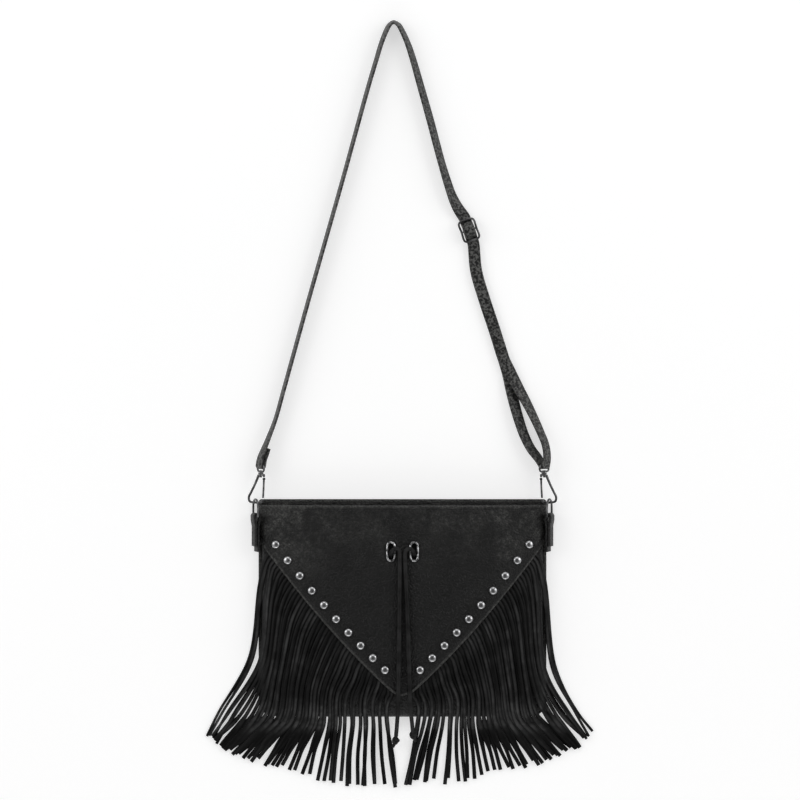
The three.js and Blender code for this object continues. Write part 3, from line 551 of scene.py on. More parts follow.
def pebbled_leather():
    s = Shader("leather_pebbled")
    warped = s.mix(0.0012, s.coords, s.noise(260, 2, output="Color"), "VECTOR")
    pebbles = s.cells(620, warped)
    large = s.noise(34, 4, 0.6)
    folds = s.noise(95, 3, 0.55)
    fine = s.noise(2300, 2)
    height = s.sum(s.ramp(pebbles, (0.0, 1.0), (0.45, 0.78), (0.85, 0.0)), s.times(folds, 0.9))
    height = s.sum(height, s.times(fine, 0.12))
    specks = s.span(s.noise(330, 4, 0.75), 0.43, 0.66, 0.25, 1.0)
    # Painted highlight: the upper part and corners, plus the highlights noted on the points, broken into
    # specks
    painted_highlight = s.times(s.sum(s.painted_highlight_area(), s.tone()), specks)
    dark = s.ramp(large, (0.3, (0.0016, 0.0016, 0.0015)), (0.7, (0.0052, 0.0052, 0.0049)))
    # The painted highlight mixes a light grey into the dark leather
    leather = s.mix(painted_highlight, dark, (0.06, 0.06, 0.057))
    between = (0.0015, 0.0015, 0.0015)
    s.set(
        Base_Color=s.mix(s.ramp(pebbles, (0.35, 1.0), (0.8, 0.3)), between, leather),
        Roughness=s.ramp(s.noise(140, 4, 0.65), (0.3, 0.58), (0.7, 0.42)),
        Specular_IOR_Level=0.3,
    )
    return s.bump(height, 0.9, 0.0006).material


def fringe_leather():
    s = Shader("leather_fringe")
    grain = s.noise(900, 3, 0.6)
    patches = s.noise(60, 3, 0.6)
    height = s.sum(s.times(grain, 0.6), s.cells(800))
    # The ends of the tone: on the strips, painted shade at the edges and painted highlight on the crowns
    dark = s.ramp(patches, (0.3, 0.0006), (0.7, 0.0016))
    light = s.ramp(patches, (0.4, 0.016), (0.62, 0.052))
    s.set(
        Base_Color=s.mix(s.tone(), dark, light),
        Roughness=s.ramp(grain, (0.3, 0.56), (0.7, 0.42)),
        Specular_IOR_Level=0.13,
    )
    return s.bump(height, 0.45, 0.0002).material


def strap_leather():
    s = Shader("leather_strap")
    patches = s.noise(430, 3, 0.6)
    height = s.sum(s.ramp(s.cells(1500), (0.1, 1.0), (0.8, 0.0)), s.times(s.noise(3200, 2), 0.3))
    height = s.sum(height, s.times(patches, 2.5))
    s.set(
        Base_Color=s.ramp(patches, (0.45, 0.0005), (0.57, (0.1, 0.1, 0.096))),
        Roughness=0.5,
        Specular_IOR_Level=0.4,
    )
    return s.bump(height, 0.6, 0.00022).material


def woven(name, low, high, scale):
    s = Shader(name)
    inputs = {"Vector": s.coords, "Scale": scale, "Distortion": 0.6, "Detail": 1.0, "Detail Scale": 2.0}
    warp, weft = (s.node("ShaderNodeTexWave", inputs, bands_direction=way).outputs["Fac"] for way in "XY")
    weave = s.times(warp, weft)
    s.set(
        Base_Color=s.ramp(s.times(weave, s.noise(120, 3)), (0.05, low), (0.6, high)),
        Roughness=0.85,
        Sheen_Weight=0.03,
    )
    return s.bump(weave, 0.5, 0.00025).material


def plated(name, low, high, roughness, patch=160):
    """Metal with clouds of a darker and a lighter tone, a little blue, and fine scratches."""
    s = Shader(name)
    clouds = s.noise(patch, 3, 0.6)
    scratches = s.noise(900, 2, coords=s.stretched((1, 7, 1)))
    s.set(
        Base_Color=s.ramp(clouds, (0.4, (low, low, low * 1.02)), (0.64, (high, high, high * 1.015))),
        Metallic=1.0,
        Roughness=s.ramp(scratches, (0.3, roughness), (0.7, roughness + 0.12)),
    )
    return s.bump(scratches, 0.06, 0.00005).material


def thread():
    s = Shader("thread_black")
    twist = s.noise(2600, 2, coords=s.stretched((1, 1, 2)))
    s.set(Base_Color=s.ramp(twist, (0.3, 0.004), (0.7, 0.012)), Roughness=0.6)
    return s.bump(twist, 0.4, 0.0001).material


LEATHER = (pebbled_leather(), "leather")
FRINGE = (fringe_leather(), "fringe_leather")
STRAP = (strap_leather(), "strap_leather")
LINING = (woven("cloth_lining", 0.006, 0.02, 900), "cloth")
TAPE = (woven("cloth_zip_tape", 0.005, 0.014, 1400), "cloth")
THREAD = (thread(), "cloth")
SILVER = (plated("metal_silver", 0.37, 0.47, 0.19), "silver_metal")
NICKEL = (plated("metal_nickel", 0.06, 0.2, 0.32), "silver_metal")
GUNMETAL = (plated("metal_gunmetal", 0.1, 0.2, 0.26), "dark_metal")
# Gunmetal with bright patches in its colour: painted glints on the eyelet rims
PAINTED_GLINT_GUNMETAL = (plated("metal_gunmetal_painted_glints", 0.06, 0.9, 0.22, patch=330), "dark_metal")

# How light the laces are, and a tone that keeps the painted highlight off the side tabs
LACE_TONE = 0.4
NO_PAINTED_HIGHLIGHT = -3


# Laces first, as the free cords. The routes list x, y and the height over the panel, the falls x, y and z.

LACE_ON = LACE_DIAMETER / 2 + 0.5
LACE_ROUTES = {
    "left": [
        (-10.6, 50.8, -0.4), (-10.5, 52, 1.8), (-9.6, 54, 4.2), (-7.8, 56, 5.4), (-5.6, 56.9, 5.0),
        (-3.6, 55.8, 3.7), (-2.7, 52.5, 2.7), (-2.5, 47, LACE_ON), (-2.5, 30, LACE_ON), (-2.7, 5, LACE_ON),
        (-3.0, -20, LACE_ON), (-3.3, -45, LACE_ON), (-3.6, -66, LACE_ON),
    ],
    "right": [
        (10.6, 50.8, -0.4), (10.5, 52, 1.8), (9.6, 54, 4.2), (7.8, 56, 5.4), (5.6, 56.6, 5.0),
        (3.4, 55.2, 3.7), (2.3, 52, 2.7), (2.2, 46, LACE_ON), (3.1, 28, LACE_ON), (4.1, 5, LACE_ON),
        (5.0, -20, LACE_ON), (5.8, -45, LACE_ON), (6.4, -66, LACE_ON),
    ],
}
LACE_FALLS = {
    "left": [(-3.8, -80, 27.4), (-4.2, -91, 24.4), (-4.8, -101, 19), (-5.4, -110, 14), (-6.0, -117, 11.2)],
    "right": [(6.8, -80, 27.4), (7.4, -90, 25), (8.2, -99, 20.2), (8.9, -106, 15.8), (9.4, -112, 12.8)],
}


def lace_points(name):
    lying = [Vector((x, y, surface_z(x, y, PANEL_GROW) + lift)) for x, y, lift in LACE_ROUTES[name]]
    return lying + [Vector(p) for p in LACE_FALLS[name]]


def make_knot(name, end, way):
    """An overhand knot: one strand wound through itself, with a short cut end below it."""
    strand = LACE_DIAMETER * 0.44
    across = Vector((1, 0, 0))
    up = across.cross(way).normalized()
    out = across * SIDES[name]
    loop = []
    for a in around(72):
        reach = 2.1 + 0.95 * cos(3 * a)
        down = 4.4 + 1.45 * reach * sin(2 * a) * 0.62
        loop.append(end + way * down + across * (reach * cos(2 * a) * 0.8) + up * (1.35 * sin(3 * a)))
    knot = Build().loft(tube_rings(loop, strand * 0.86, True, 12), True)
    knot.tube([end - way * 0.2, end + way * 1.6, end + way * 3.4], strand, 8, sides=12)
    tail = [end + way * 4.2, end + way * 8.2 + out * 0.9, end + way * 11.2 + out * 2.0]
    knot.tube(tail, lambda t: strand * (1 - 0.12 * t), 12, sides=12)
    return add_piece(f"knot_{name}", knot, FRINGE, [f"lace_knot_{name}"], tones=LACE_TONE)


def make_lace(name):
    path = curve_points(lace_points(name), 150)
    strand = Build().loft(tube_rings(path, LACE_DIAMETER / 2))
    lace = add_piece(f"lace_strand_{name}", strand, FRINGE, [f"lace_{name}"], tones=LACE_TONE)
    knot = make_knot(name, path[-1], (path[-1] - path[-3]).normalized())


for side_name in SIDES:
    make_lace(side_name)


# Body


def make_front():
    columns, rows = 72, 22
    full_y = BOTTOM_Y + BOTTOM_ROUND
    heights = [lerp(BOTTOM_Y, full_y, 1 - cos(t * pi / 2)) for t in spread(rows)]
    heights += spread(rows, full_y, MOUTH_Y)[1:]
    rings = []
    for y in heights:
        inner_y = max(y, BOTTOM_Y + FRONT_THICK * 0.4)
        outer = [body_point(pi * (1 - t), y, 0) for t in spread(columns)]
        inner = [body_point(pi * t, inner_y, -FRONT_THICK) for t in spread(columns)]
        for p in inner:
            p.y = y
        rings.append(outer + inner)
    add_piece("front_skin", Build().loft(rings), LEATHER, ["front_panel"], crisp=50)


def make_lining():
    """Two skins, one inside the other, joined by a rim at their open top."""
    grow = -FRONT_THICK - SEAT_GAP
    rows = 30
    build = Build()
    for offset, base in ((0, SEAM_Z), (-LINING_THICK, SEAM_Z + LINING_THICK)):
        rings = []
        for y in spread(rows, BOTTOM_Y - grow + 3, LINING_TOP_Y):
            arch = [body_point(pi * u, y, grow + offset, base) for u in spread(40)]
            floor = [Vector((x, y, base)) for x in spread(16, arch[-1].x, -arch[-1].x)][1:-1]
            rings.append(arch + floor)
        points, faces = loft(rings)
        build.add(points, faces[:-1])
    rim = len(rings[0])
    outer = rows * rim
    inner = len(build.points) // 2 + outer
    for i in range(rim):
        n = (i + 1) % rim
        build.faces.append([outer + i, outer + n, inner + n, inner + i])
    add_piece("lining_cloth", build, LINING, ["lining"], crisp=50)


def v_profile():
    """Distances from the V edge and from the mouth, with the height over the panel's seat."""

    def rounded(distance, reach):
        return PANEL_THICK * sqrt(clamp(1 - (1 - clamp(distance / reach, 0, 1)) ** 2, 0, 1))

    rows = []
    for d in (0, 0.12, 0.4, 0.85, 1.4, 2.1, 2.8, 3.3, 3.7, 4.1, 4.6, 5.4, 7):
        hem = 0.55 * smooth(d, 0.1, 1.2) * (1 - smooth(d, HEM - 0.5, HEM + 0.7))
        groove = -0.32 * exp(-((d - HEM - 0.9) / 0.55) ** 2)
        rows.append(("edge", d, rounded(d, 1.2) + hem + groove))
    rows += [("between", t, PANEL_THICK) for t in spread(26)[1:-1]]
    for d in (5, 3.6, 3, 2.5, 2, 1.4, 0.8, 0.35, 0.05):
        hem = 0.7 * smooth(d, 0.05, 1.3) * (1 - smooth(d, 1.9, 3.2))
        rows.append(("mouth", d, rounded(d, 1.6) + hem))
    return rows


def painted_edge_highlight(kind, distance):
    """The painted highlight along the V edge's fold, and a fainter one along the mouth's fold."""
    if kind == "edge":
        return 2.2 * smooth(distance, 0, 0.4) * (1 - smooth(distance, 1.8, 2.8))
    if kind == "mouth":
        return 0.8 * smooth(distance, 0.2, 0.8) * (1 - smooth(distance, 1.6, 2.4))
    return 0


def make_v_panel():
    rows = v_profile()
    rings = []
    for u in spread(150):
        angle = pi * (1 - (u + 0.035 * sin(2 * pi * u)))
        x = body_point(angle, 0, PANEL_GROW).x
        edge_y = v_edge_y(x)
        ring = []
        for kind, value, height in rows:
            y = MOUTH_Y - value
            if kind == "edge":
                y = edge_y + value * v_stretch(x)
            elif kind == "between":
                y = lerp(edge_y + 7 * v_stretch(x), MOUTH_Y - 5, value)
            ring.append(body_point(angle, y, PANEL_LIFT + height))
        underside = [body_point(angle, y, PANEL_LIFT - 0.05) for y in spread(8, MOUTH_Y, edge_y)]
        rings.append(ring + underside)
    # Painted highlights along the folds, none on the underside
    tones = [painted_edge_highlight(kind, value) for kind, value, _ in rows] + [0] * len(underside)
    panel = add_piece("v_panel_skin", Build().loft(rings), LEATHER, ["v_panel"], tones=tones * len(rings))
    cut_slots(panel)
    sharpen(panel, 60)


def oval(width, length, count=20):
    radius = width / 2
    run = length / 2 - radius
    top = [(radius * cos(a), run + radius * sin(a)) for a in spread(count, 0, pi)]
    return top + [(-x, -y) for x, y in top]


def cut_slots(panel):
    """Cuts the eyelets' holes through the panel."""
    shape = oval(EYELET_WIDTH - 2 * EYELET_RIM + 0.6, EYELET_LENGTH - 2 * EYELET_RIM + 0.6)
    build = Build()
    for side in SIDES.values():
        build.loft([[Vector((side * EYELET_X + x, EYELET_Y + y, z)) for x, y in shape] for z in (5, 40)])
    mesh = bpy.data.meshes.new("slot_cutter")
    mesh.from_pydata([p * MM for p in build.points], [], build.faces)
    cutter = put("slot_cutter", mesh)
    modifier = panel.modifiers.new("slots", "BOOLEAN")
    modifier.operation = "DIFFERENCE"
    modifier.object = cutter
    modifier.solver = "EXACT"
    seen = panel.evaluated_get(bpy.context.evaluated_depsgraph_get())
    cut = bpy.data.meshes.new_from_object(seen)
    panel.modifiers.clear()
    panel.data = cut
    bpy.data.objects.remove(cutter)


def outline_loop(inset, z, steps=10):
    """The back panel's outline, with round corners at the bottom and tight ones at the top."""
    side = HALF_WIDTH + PANEL_GROW - inset
    top = MOUTH_Y + BACK_RISE - inset
    low = BOTTOM_Y + inset
    radius = CORNER_RADIUS - inset
    small = 3
    loop = []
    for x, y, r, start in (
        (side - radius, low + radius, radius, -90), (side - small, top - small, small, 0),
        (small - side, top - small, small, 90), (radius - side, low + radius, radius, 180),
    ):
        for degrees in spread(steps, start, start + 90):
            a = radians(degrees)
            loop.append(Vector((x + r * cos(a), y + r * sin(a), z)))
    return loop


def make_back():
    edge = [(6.5, 0.0), (5.2, 0.0), (4.6, 0.18), (4.0, 0.0), (0.9, 0.0), (0.35, 0.22), (0, 0.9)]
    edge += [(0.35, 1.58), (0.9, 1.8), (2.4, 1.8), (2.9, 1.62), (3.4, 1.8), (6.5, 1.8)]
    loops = [outline_loop(inset, z) for inset, z in edge]
    # A painted highlight along the outer rim of the back panel's upper face
    painted_highlight = [2.5 if inset < 2.6 and z > 0.5 else 0 for inset, z in edge]
    tones = [tone for tone in painted_highlight for _ in loops[0]]
    add_piece("back_skin", Build().loft(loops), LEATHER, ["back_panel"], crisp=40, tones=tones)
    groove = outline_loop(4.6, 0.3)
    groove.append(groove[0])
    top = [Vector((x, MOUTH_Y + BACK_RISE - 2.9, 1.66)) for x in range(-128, 129, 2)]
    build = Build().stitches(groove, [Vector((0, 0, -1))] * len(groove), 3.6, 2.5, 0.25, -0.02)
    build.stitches(top, [Vector((0, 0, 1))] * len(top), 3.6, 2.5, 0.25, 0)
    add_piece("back_stitches", build, THREAD)


def make_panel_stitches():
    """A row of stitches in the groove along each side of the V, and one along the mouth."""
    rows = []
    for side in SIDES.values():
        across = spread(120, 129, 8)
        grooves = [v_edge_y(x) + (HEM + 0.9) * v_stretch(x) for x in across]
        rows.append(([on_panel(side * x, y, PANEL_GROW - 0.3) for x, y in zip(across, grooves)], 0.3))
    rows.append(([on_panel(x, MOUTH_Y - 4.6) for x in spread(120, -124, 124)], 0.28))
    build = Build()
    for row, radius in rows:
        path, normals = zip(*row)
        build.stitches(path, normals, 3.4, 2.4, radius)
    add_piece("panel_stitches", build, THREAD)


# Fringe

# The line that the tips reach, from the middle outwards, and how far each strip's tip lies out from
# where the strip leaves the bag, by its share of the V edge from the side to the middle
TIPS = {
    "left": [(0, -164), (55, -161), (88, -155), (130, -142), (158, -133), (181, -117)],
    "right": [
        (-10, -163), (35, -160), (72, -155), (98, -148), (129, -141), (147, -133), (164, -126), (174, -113),
    ],
}
LEAN = {
    "left": [(0, 44), (0.2, 45), (0.4, 40), (0.58, 26), (0.7, 9), (0.8, 4), (0.92, -1), (1, -10)],
    "right": [(0, 39), (0.2, 41), (0.4, 36), (0.58, 22), (0.7, 6), (0.8, -4), (0.9, -15), (1, -11)],
}
EDGE_X = spread(12, HALF_WIDTH - FRINGE_SIDE_GAP, V_END[0] - 4)
EDGE = curve_points([(x, v_edge_y(x), 0) for x in EDGE_X], 400)
OUTER_HANG_Y = {"left": -46, "right": -55}
OUTER_FLARE = {"left": 0.72, "right": 0.62}
MOST_DRIFT = {"left": 20, "right": 17}
BUNCHES = 27

# Places over a strip's width from its left edge, with the height as a share of its thickness and the tone,
# which is painted shade at the edges and a painted highlight on the crown
STRIP_CROWN = [
    (1, 0.5, 0), (0.9, 0.85, 0.1), (0.72, 1.15, 0.75), (0.55, 1.3, 1), (0.35, 1.2, 0.65), (0.1, 0.85, 0.08),
    (0, 0.5, 0),
]


def along(path, share):
    """The point at a share of a path's length."""
    place = clamp(share, 0, 1) * (len(path) - 1)
    i = min(int(place), len(path) - 2)
    return path[i].lerp(path[i + 1], place - i)


def between(stops, at):
    """The value at a place between listed pairs of place and value."""
    for (a, low), (b, high) in zip(stops, stops[1:]):
        if at <= b:
            return lerp(low, high, clamp((at - a) / (b - a), 0, 1))
    return stops[-1][1]


def bunched(share):
    """Near the middle the strips' lower ends lie together in twos and threes."""
    bunch = (int(share * BUNCHES) + 0.5) / BUNCHES
    return lerp(share, bunch, 0.85 * smooth(share, 0.64, 0.78))


def strip_plan(share, name, chance):
    """The way a strip runs over the floor plan: out of the V edge, down, then away to its tip."""
    root = along(EDGE, share)
    way = (along(EDGE, share + 0.01) - along(EDGE, share - 0.01)).normalized()
    square = Vector((abs(way.y), -abs(way.x), 0))
    down = Vector((0, -1, 0))
    out = square.lerp(down, lerp(0.3, 0.85, smooth(share, 0.7, 1))).normalized()
    low = bunched(share)
    apart = 5 if share < 0.05 else 0
    drift = lerp(lerp(13, MOST_DRIFT[name], smooth(share, 0, 0.25)), 5, smooth(share, 0.55, 1)) + apart
    hang_x = along(EDGE, low).x + drift + chance.uniform(-1, 1)
    hang = Vector((hang_x, lerp(OUTER_HANG_Y[name], -90, share), 0))
    tip_x = hang.x - apart + between(LEAN[name], low) + chance.uniform(-1.5, 1.5)
    tip = Vector((tip_x, between(TIPS[name], tip_x) + chance.uniform(-3.5, 3), 0))
    flare = lerp(OUTER_FLARE[name], 0.16, smooth(share, 0, 0.35))
    bend = Vector((lerp(hang.x, tip.x, flare) + chance.uniform(-1, 1), lerp(-96, -110, share), 0))
    drop = min(lerp(30, 19, smooth(share, 0, 0.2)), (root.y - hang.y) / 2)
    shoulder = root + Vector((0.5 * drift, -drop, 0))
    route = [root - out * 4.5, root + out * 1, root + out * 5, shoulder, hang, bend]
    if share > 0.25:
        wave = Vector((chance.uniform(-1.4, 1.4), 0, 0))
        route.append(bend.lerp(tip, 0.5) + wave)
    return route + [tip]


def strip_width(share, y):
    """Strips lie over one another just below the bag, and the ones at its sides hang thin and apart."""
    spread_out = smooth(-y, 98, 108) * (1 - smooth(-y, 120, 134))
    merged = 1.9 * spread_out * smooth(share, 0.1, 0.18) * (1 - smooth(share, 0.6, 0.72))
    thinned = 1.0 * smooth(-y, 60, 90) * (1 - smooth(share, 0.08, 0.16))
    return STRIP_WIDTH + merged - thinned


def rest_z(x, y):
    """The height at which a strip lies: on the body, on the back panel's rim or on the floor."""
    over_back = abs(x) < side_at(y, 0) + PANEL_GROW + 1.5 and y > BOTTOM_Y - 1.5
    return max(surface_z(x, y, STRIP_CLEARANCE), (BACK_THICK if over_back else 0) + SEAT_GAP)


def strip_rings(route, share, sign, layer, chance, steps=44):
    """A strip's cross-sections: its two edges at rest on what is below, and a crown between them."""
    path = curve_points(route, steps)
    stride = length_of(path) / steps
    edges = []
    for i, at in enumerate(path):
        ahead = (path[min(i + 1, steps)] - path[max(i - 1, 0)]).normalized()
        across = Vector((-ahead.y, ahead.x, 0)) * (strip_width(share, at.y) / 2)
        edges.append((at + across, at - across))
    heights = [[rest_z(e.x, e.y) for e in pair] for pair in edges]
    for side in (0, 1):
        for i in range(1, steps + 1):
            heights[i][side] = max(heights[i][side], heights[i - 1][side] - FALL_SLOPE * stride)
    for pair in heights:
        bank = STRIP_WIDTH * 0.5
        pair[0], pair[1] = max(pair[0], pair[1] - bank), max(pair[1], pair[0] - bank)
    twist = chance.uniform(-1, 1)
    lift = chance.uniform(0, 0.35)
    up = Vector((0, 0, STRIP_THICK))
    rings = []
    for i, (pair, z) in enumerate(zip(edges, heights)):
        rise = (layer * 1.35 + lift) * smooth(i * stride, 5, 22)
        turn = twist * smooth(i / steps, 0.45, 1) * 0.9
        a = Vector((sign * pair[0].x, pair[0].y, z[0] + rise + max(turn, 0)))
        b = Vector((sign * pair[1].x, pair[1].y, z[1] + rise + max(-turn, 0)))
        rings.append([a, b] + [a.lerp(b, place) + up * height for place, height, _ in STRIP_CROWN])
    return rings


def strip_tones(rings, chance):
    """How light each point of a strip is: its own tone, painted shade at its edges and where it lies on the
    floor, and a painted highlight on its crown and in a band over the bag's bottom edge.
    """
    own = chance.uniform(0.1, 1) ** 1.3
    tones = []
    for ring in rings:
        y = ring[4].y
        own = clamp(own + chance.uniform(-0.12, 0.12), 0.05, 1)
        # Painted highlight in a band where the strips bend over the bag's bottom edge
        painted_highlight = smooth(-y, 76, 98) * (1 - smooth(-y, 106, 118))
        # Painted shade where the strips lie on the floor
        under = smooth(-y, 110, 120) * (1 - smooth(-y, 138, 162))
        level = lerp(own, 0.25 + 0.75 * own, painted_highlight) + 1.1 * painted_highlight * chance.uniform(0, 1) ** 2
        level *= 1 - 0.7 * under
        # The two edge points keep tone 0: painted shade between the strips
        tones += [0, 0] + [tone * level for _, _, tone in STRIP_CROWN]
    return tones


def make_fringe(name, sign):
    chance = random.Random(f"fringe {name}")
    build = Build()
    tones = []
    for k in range(STRIPS_PER_SIDE):
        share = (k + 0.5) / STRIPS_PER_SIDE
        rings = strip_rings(strip_plan(share, name, chance), share, sign, k % 2, chance)
        build.loft(rings)
        tones += strip_tones(rings, chance)
    add_piece(f"fringe_strips_{name}", build, FRINGE, [f"fringe_{name}"], crisp=45, tones=tones)


# Studs and eyelets


def make_studs():
    profile = [(STUD_RADIUS, 0), (STUD_RADIUS + 0.1, 0.25), (STUD_RADIUS * 0.95, STUD_RIM)]
    for k in range(1, 9):
        a = radians(10 * k)
        profile.append((STUD_RADIUS * 0.93 * cos(a), STUD_RIM + (STUD_HEIGHT - STUD_RIM) * sin(a)))
    profile.append((0.02, STUD_HEIGHT))
    for name, side in SIDES.items():
        for i, x in enumerate(spread(STUDS_PER_SIDE - 1, STUD_FIRST_X, STUD_LAST_X)):
            point, out = on_panel(side * x, v_edge_y(x) + STUD_INSET * v_stretch(x))
            turn = Vector((0, 0, 1)).rotation_difference(out)
            rings = [[point + out * 0.1 + turn @ p for p in ring] for ring in turned(profile, 28)]
            add_piece(f"dome_{name}_{i + 1}", Build().loft(rings), SILVER, [f"stud_{name}_{i + 1}"])


def make_eyelet(name, side):
    point, out = on_panel(side * EYELET_X, EYELET_Y)
    turn = Vector((0, 0, 1)).rotation_difference(out)
    section = [(0.5 - 0.5 * cos(a), 1.5 * sin(a)) for a in spread(10, 0, pi)]
    section.append((0, -1.6))
    outside = oval(EYELET_WIDTH, EYELET_LENGTH, 16)
    inside = oval(EYELET_WIDTH - 2 * EYELET_RIM, EYELET_LENGTH - 2 * EYELET_RIM, 16)
    rings = []
    for (ox, oy), (ix, iy) in zip(outside, inside):
        a, b = Vector((ix, iy, 0)), Vector((ox, oy, 0))
        ring = [a.lerp(b, share) + Vector((0, 0, height + 0.15)) for share, height in section]
        rings.append([point + turn @ p for p in ring])
    rim = Build().loft(rings, closed=True)
    add_piece(f"eyelet_rim_{name}", rim, PAINTED_GLINT_GUNMETAL, [f"eyelet_{name}"], crisp=60)


# Zip


def make_zip():
    web_y = ZIP_Y - TAPE_THICK / 2
    web_z = ZIP_Z + SLIDER_ROOM + SEAT_GAP
    grow = -FRONT_THICK - SEAT_GAP
    rings = []
    for x in spread(80, -ZIP_HALF_LENGTH, ZIP_HALF_LENGTH):
        places = (TAPE_BACK_Y, web_y, web_y + TAPE_THICK, TAPE_FRONT_Y)
        roof = [surface_z(x, y, grow) for y in places]
        under = [z - TAPE_THICK for z in roof]
        outline = [
            (places[0], roof[0]), (places[0], under[0]), (places[1], under[1]), (places[1], web_z),
            (places[2], web_z), (places[2], under[2]), (places[3], under[3]), (places[3], roof[3]),
        ]
        rings.append([Vector((x, y, z)) for y, z in outline])
    add_piece("zip_cloth_front", Build().loft(rings), TAPE, ["zip_tape_front"], crisp=0)
    size = (2 * ZIP_HALF_LENGTH, TAPE_FRONT_Y - TAPE_BACK_Y, TAPE_THICK)
    tape = Build().box((0, (TAPE_FRONT_Y + TAPE_BACK_Y) / 2, SEAM_Z + TAPE_THICK / 2), size, 0.2)
    add_piece("zip_cloth_back", tape, TAPE, ["zip_tape_back"], crisp=0)
    for name, side, start in (("front", 1, 0.25), ("back", -1, 0.75)):
        teeth = Build().box((0, ZIP_Y, ZIP_Z + side * 2.5), (2 * ZIP_HALF_LENGTH, 1.7, 1.0), 0.2)
        for k in range(int(2 * ZIP_HALF_LENGTH / TOOTH_PITCH)):
            x = -ZIP_HALF_LENGTH + (k + start) * TOOTH_PITCH
            teeth.box((x, ZIP_Y, ZIP_Z + side * 1.9), (1.3, 2.4, 2.2), 0.25)
        add_piece(f"zip_teeth_{name}_fine", teeth, GUNMETAL, [f"zip_teeth_{name}"], crisp=0)


def make_zip_metal():
    """The slider, its pull and the stops: the solids with their edges rounded off."""
    bodies = {"zip_slider": "zip_slider_body", "zip_pull": "zip_pull_body", "zip_stop_closed": "bag",
              "zip_stop_open": "bag"}
    material, slot = SILVER
    for node, body in bodies.items():
        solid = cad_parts[node]
        mesh = solid.data.copy()
        mesh.transform(solid.matrix_world)
        mesh.materials.clear()
        mesh.materials.append(material)
        fine = bmesh.new()
        fine.from_mesh(mesh)
        bmesh.ops.remove_doubles(fine, verts=fine.verts, dist=1e-6)
        bmesh.ops.dissolve_limit(fine, angle_limit=radians(3), verts=fine.verts, edges=fine.edges)
        sharp = [e for e in fine.edges if e.calc_face_angle(0) > radians(35)]
        bmesh.ops.bevel(fine, geom=sharp, offset=0.12 * MM, segments=2, affect="EDGES", clamp_overlap=True)
        fine.to_mesh(mesh)
        fine.free()
        dress(put(f"{node}_fine", mesh), body, [node])


# Side tabs, rings and hooks. Each is built for the right and mirrored for the left.


def leaned(points):
    """Turns points by the side tab's lean and moves them to its place."""
    turn = Matrix.Rotation(-TAB_LEAN, 3, "Y")
    return [turn @ Vector(p) + Vector((HARDWARE_X, 0, HARDWARE_Z)) for p in points]


def tab_line(flat, radius, dip, share, rise):
    """One face of the tab from the side: up the back, over the ring's bar and down the front."""
    back = [(-flat, TAB_LOW_Y), (-flat, RING_BAR_Y - dip), (-radius * share, RING_BAR_Y - rise)]
    over = [(-radius * cos(a), RING_BAR_Y + radius * sin(a)) for a in spread(16, 0, pi)]
    front = [(radius * share, RING_BAR_Y - rise), (flat, RING_BAR_Y - dip), (flat, TAB_LOW_Y + 5)]
    return back + over + front


def make_tab(name, side):
    bar = RING_WIRE / 2 + SEAT_GAP
    face = TAB_PLY + SEAT_GAP / 2
    half = TAB_WIDTH / 2
    full = Vector((0, 0, half))
    shoulder = Vector((0, 0, half - 0.35))
    outside = tab_line(face, bar + TAB_PLY, 9, 0.98, 3.5)
    inside = tab_line(SEAT_GAP / 2, bar, 7, 0.9, 3)
    rings = []
    for outer, inner in zip(outside, inside):
        a, b = Vector((*outer, 0)), Vector((*inner, 0))
        near_a, near_b = a.lerp(b, 0.12), b.lerp(a, 0.12)
        rings.append(leaned([
            near_a + full, a + shoulder, a - shoulder, near_a - full,
            near_b - full, b - shoulder, b + shoulder, near_b + full,
        ]))
    tab = Build().loft(rings).mirrored(side)
    # The tabs' tone cancels the painted highlight of the bag's upper corners
    add_piece(f"tab_{name}", tab, LEATHER, [f"side_tab_{name}"], crisp=50, tones=NO_PAINTED_HIGHLIGHT)
    seam = Build()
    edge = half - 1.6
    middle, outwards = leaned([(0, 0, 0), (1, 0, 0)])
    for z in (-edge, edge):
        path = leaned([(face, y, z) for y in spread(30, TAB_LOW_Y + 6, RING_BAR_Y - 10)])
        seam.stitches(path, [outwards - middle] * len(path), 3.2, 2.2, 0.26)
    for y in (TAB_LOW_Y + 7, RING_BAR_Y - 11):
        path = leaned([(face, y, z) for z in spread(12, -edge, edge)])
        seam.stitches(path, [outwards - middle] * len(path), 2.9, 2.1, 0.26)
    add_piece(f"tab_stitches_{name}", seam.mirrored(side), THREAD)


def make_ring(name, side):
    half = RING_WIDTH / 2
    bend = 0.8
    shoulder = RING_TOP_Y - half * 0.75
    points = [(0, RING_BAR_Y, 0), (0, RING_BAR_Y, half - bend), (0, RING_BAR_Y + bend, half)]
    for a in spread(6, 0, pi):
        points.append((0, shoulder + (RING_TOP_Y - shoulder) * sin(a), half * cos(a)))
    points += [(0, RING_BAR_Y + bend, -half), (0, RING_BAR_Y, bend - half)]
    ring = Build().tube(leaned(points), RING_WIRE / 2, 96, True, 16).mirrored(side)
    add_piece(f"ring_wire_{name}", ring, NICKEL, [f"ring_{name}"], f"ring_{name}_body")


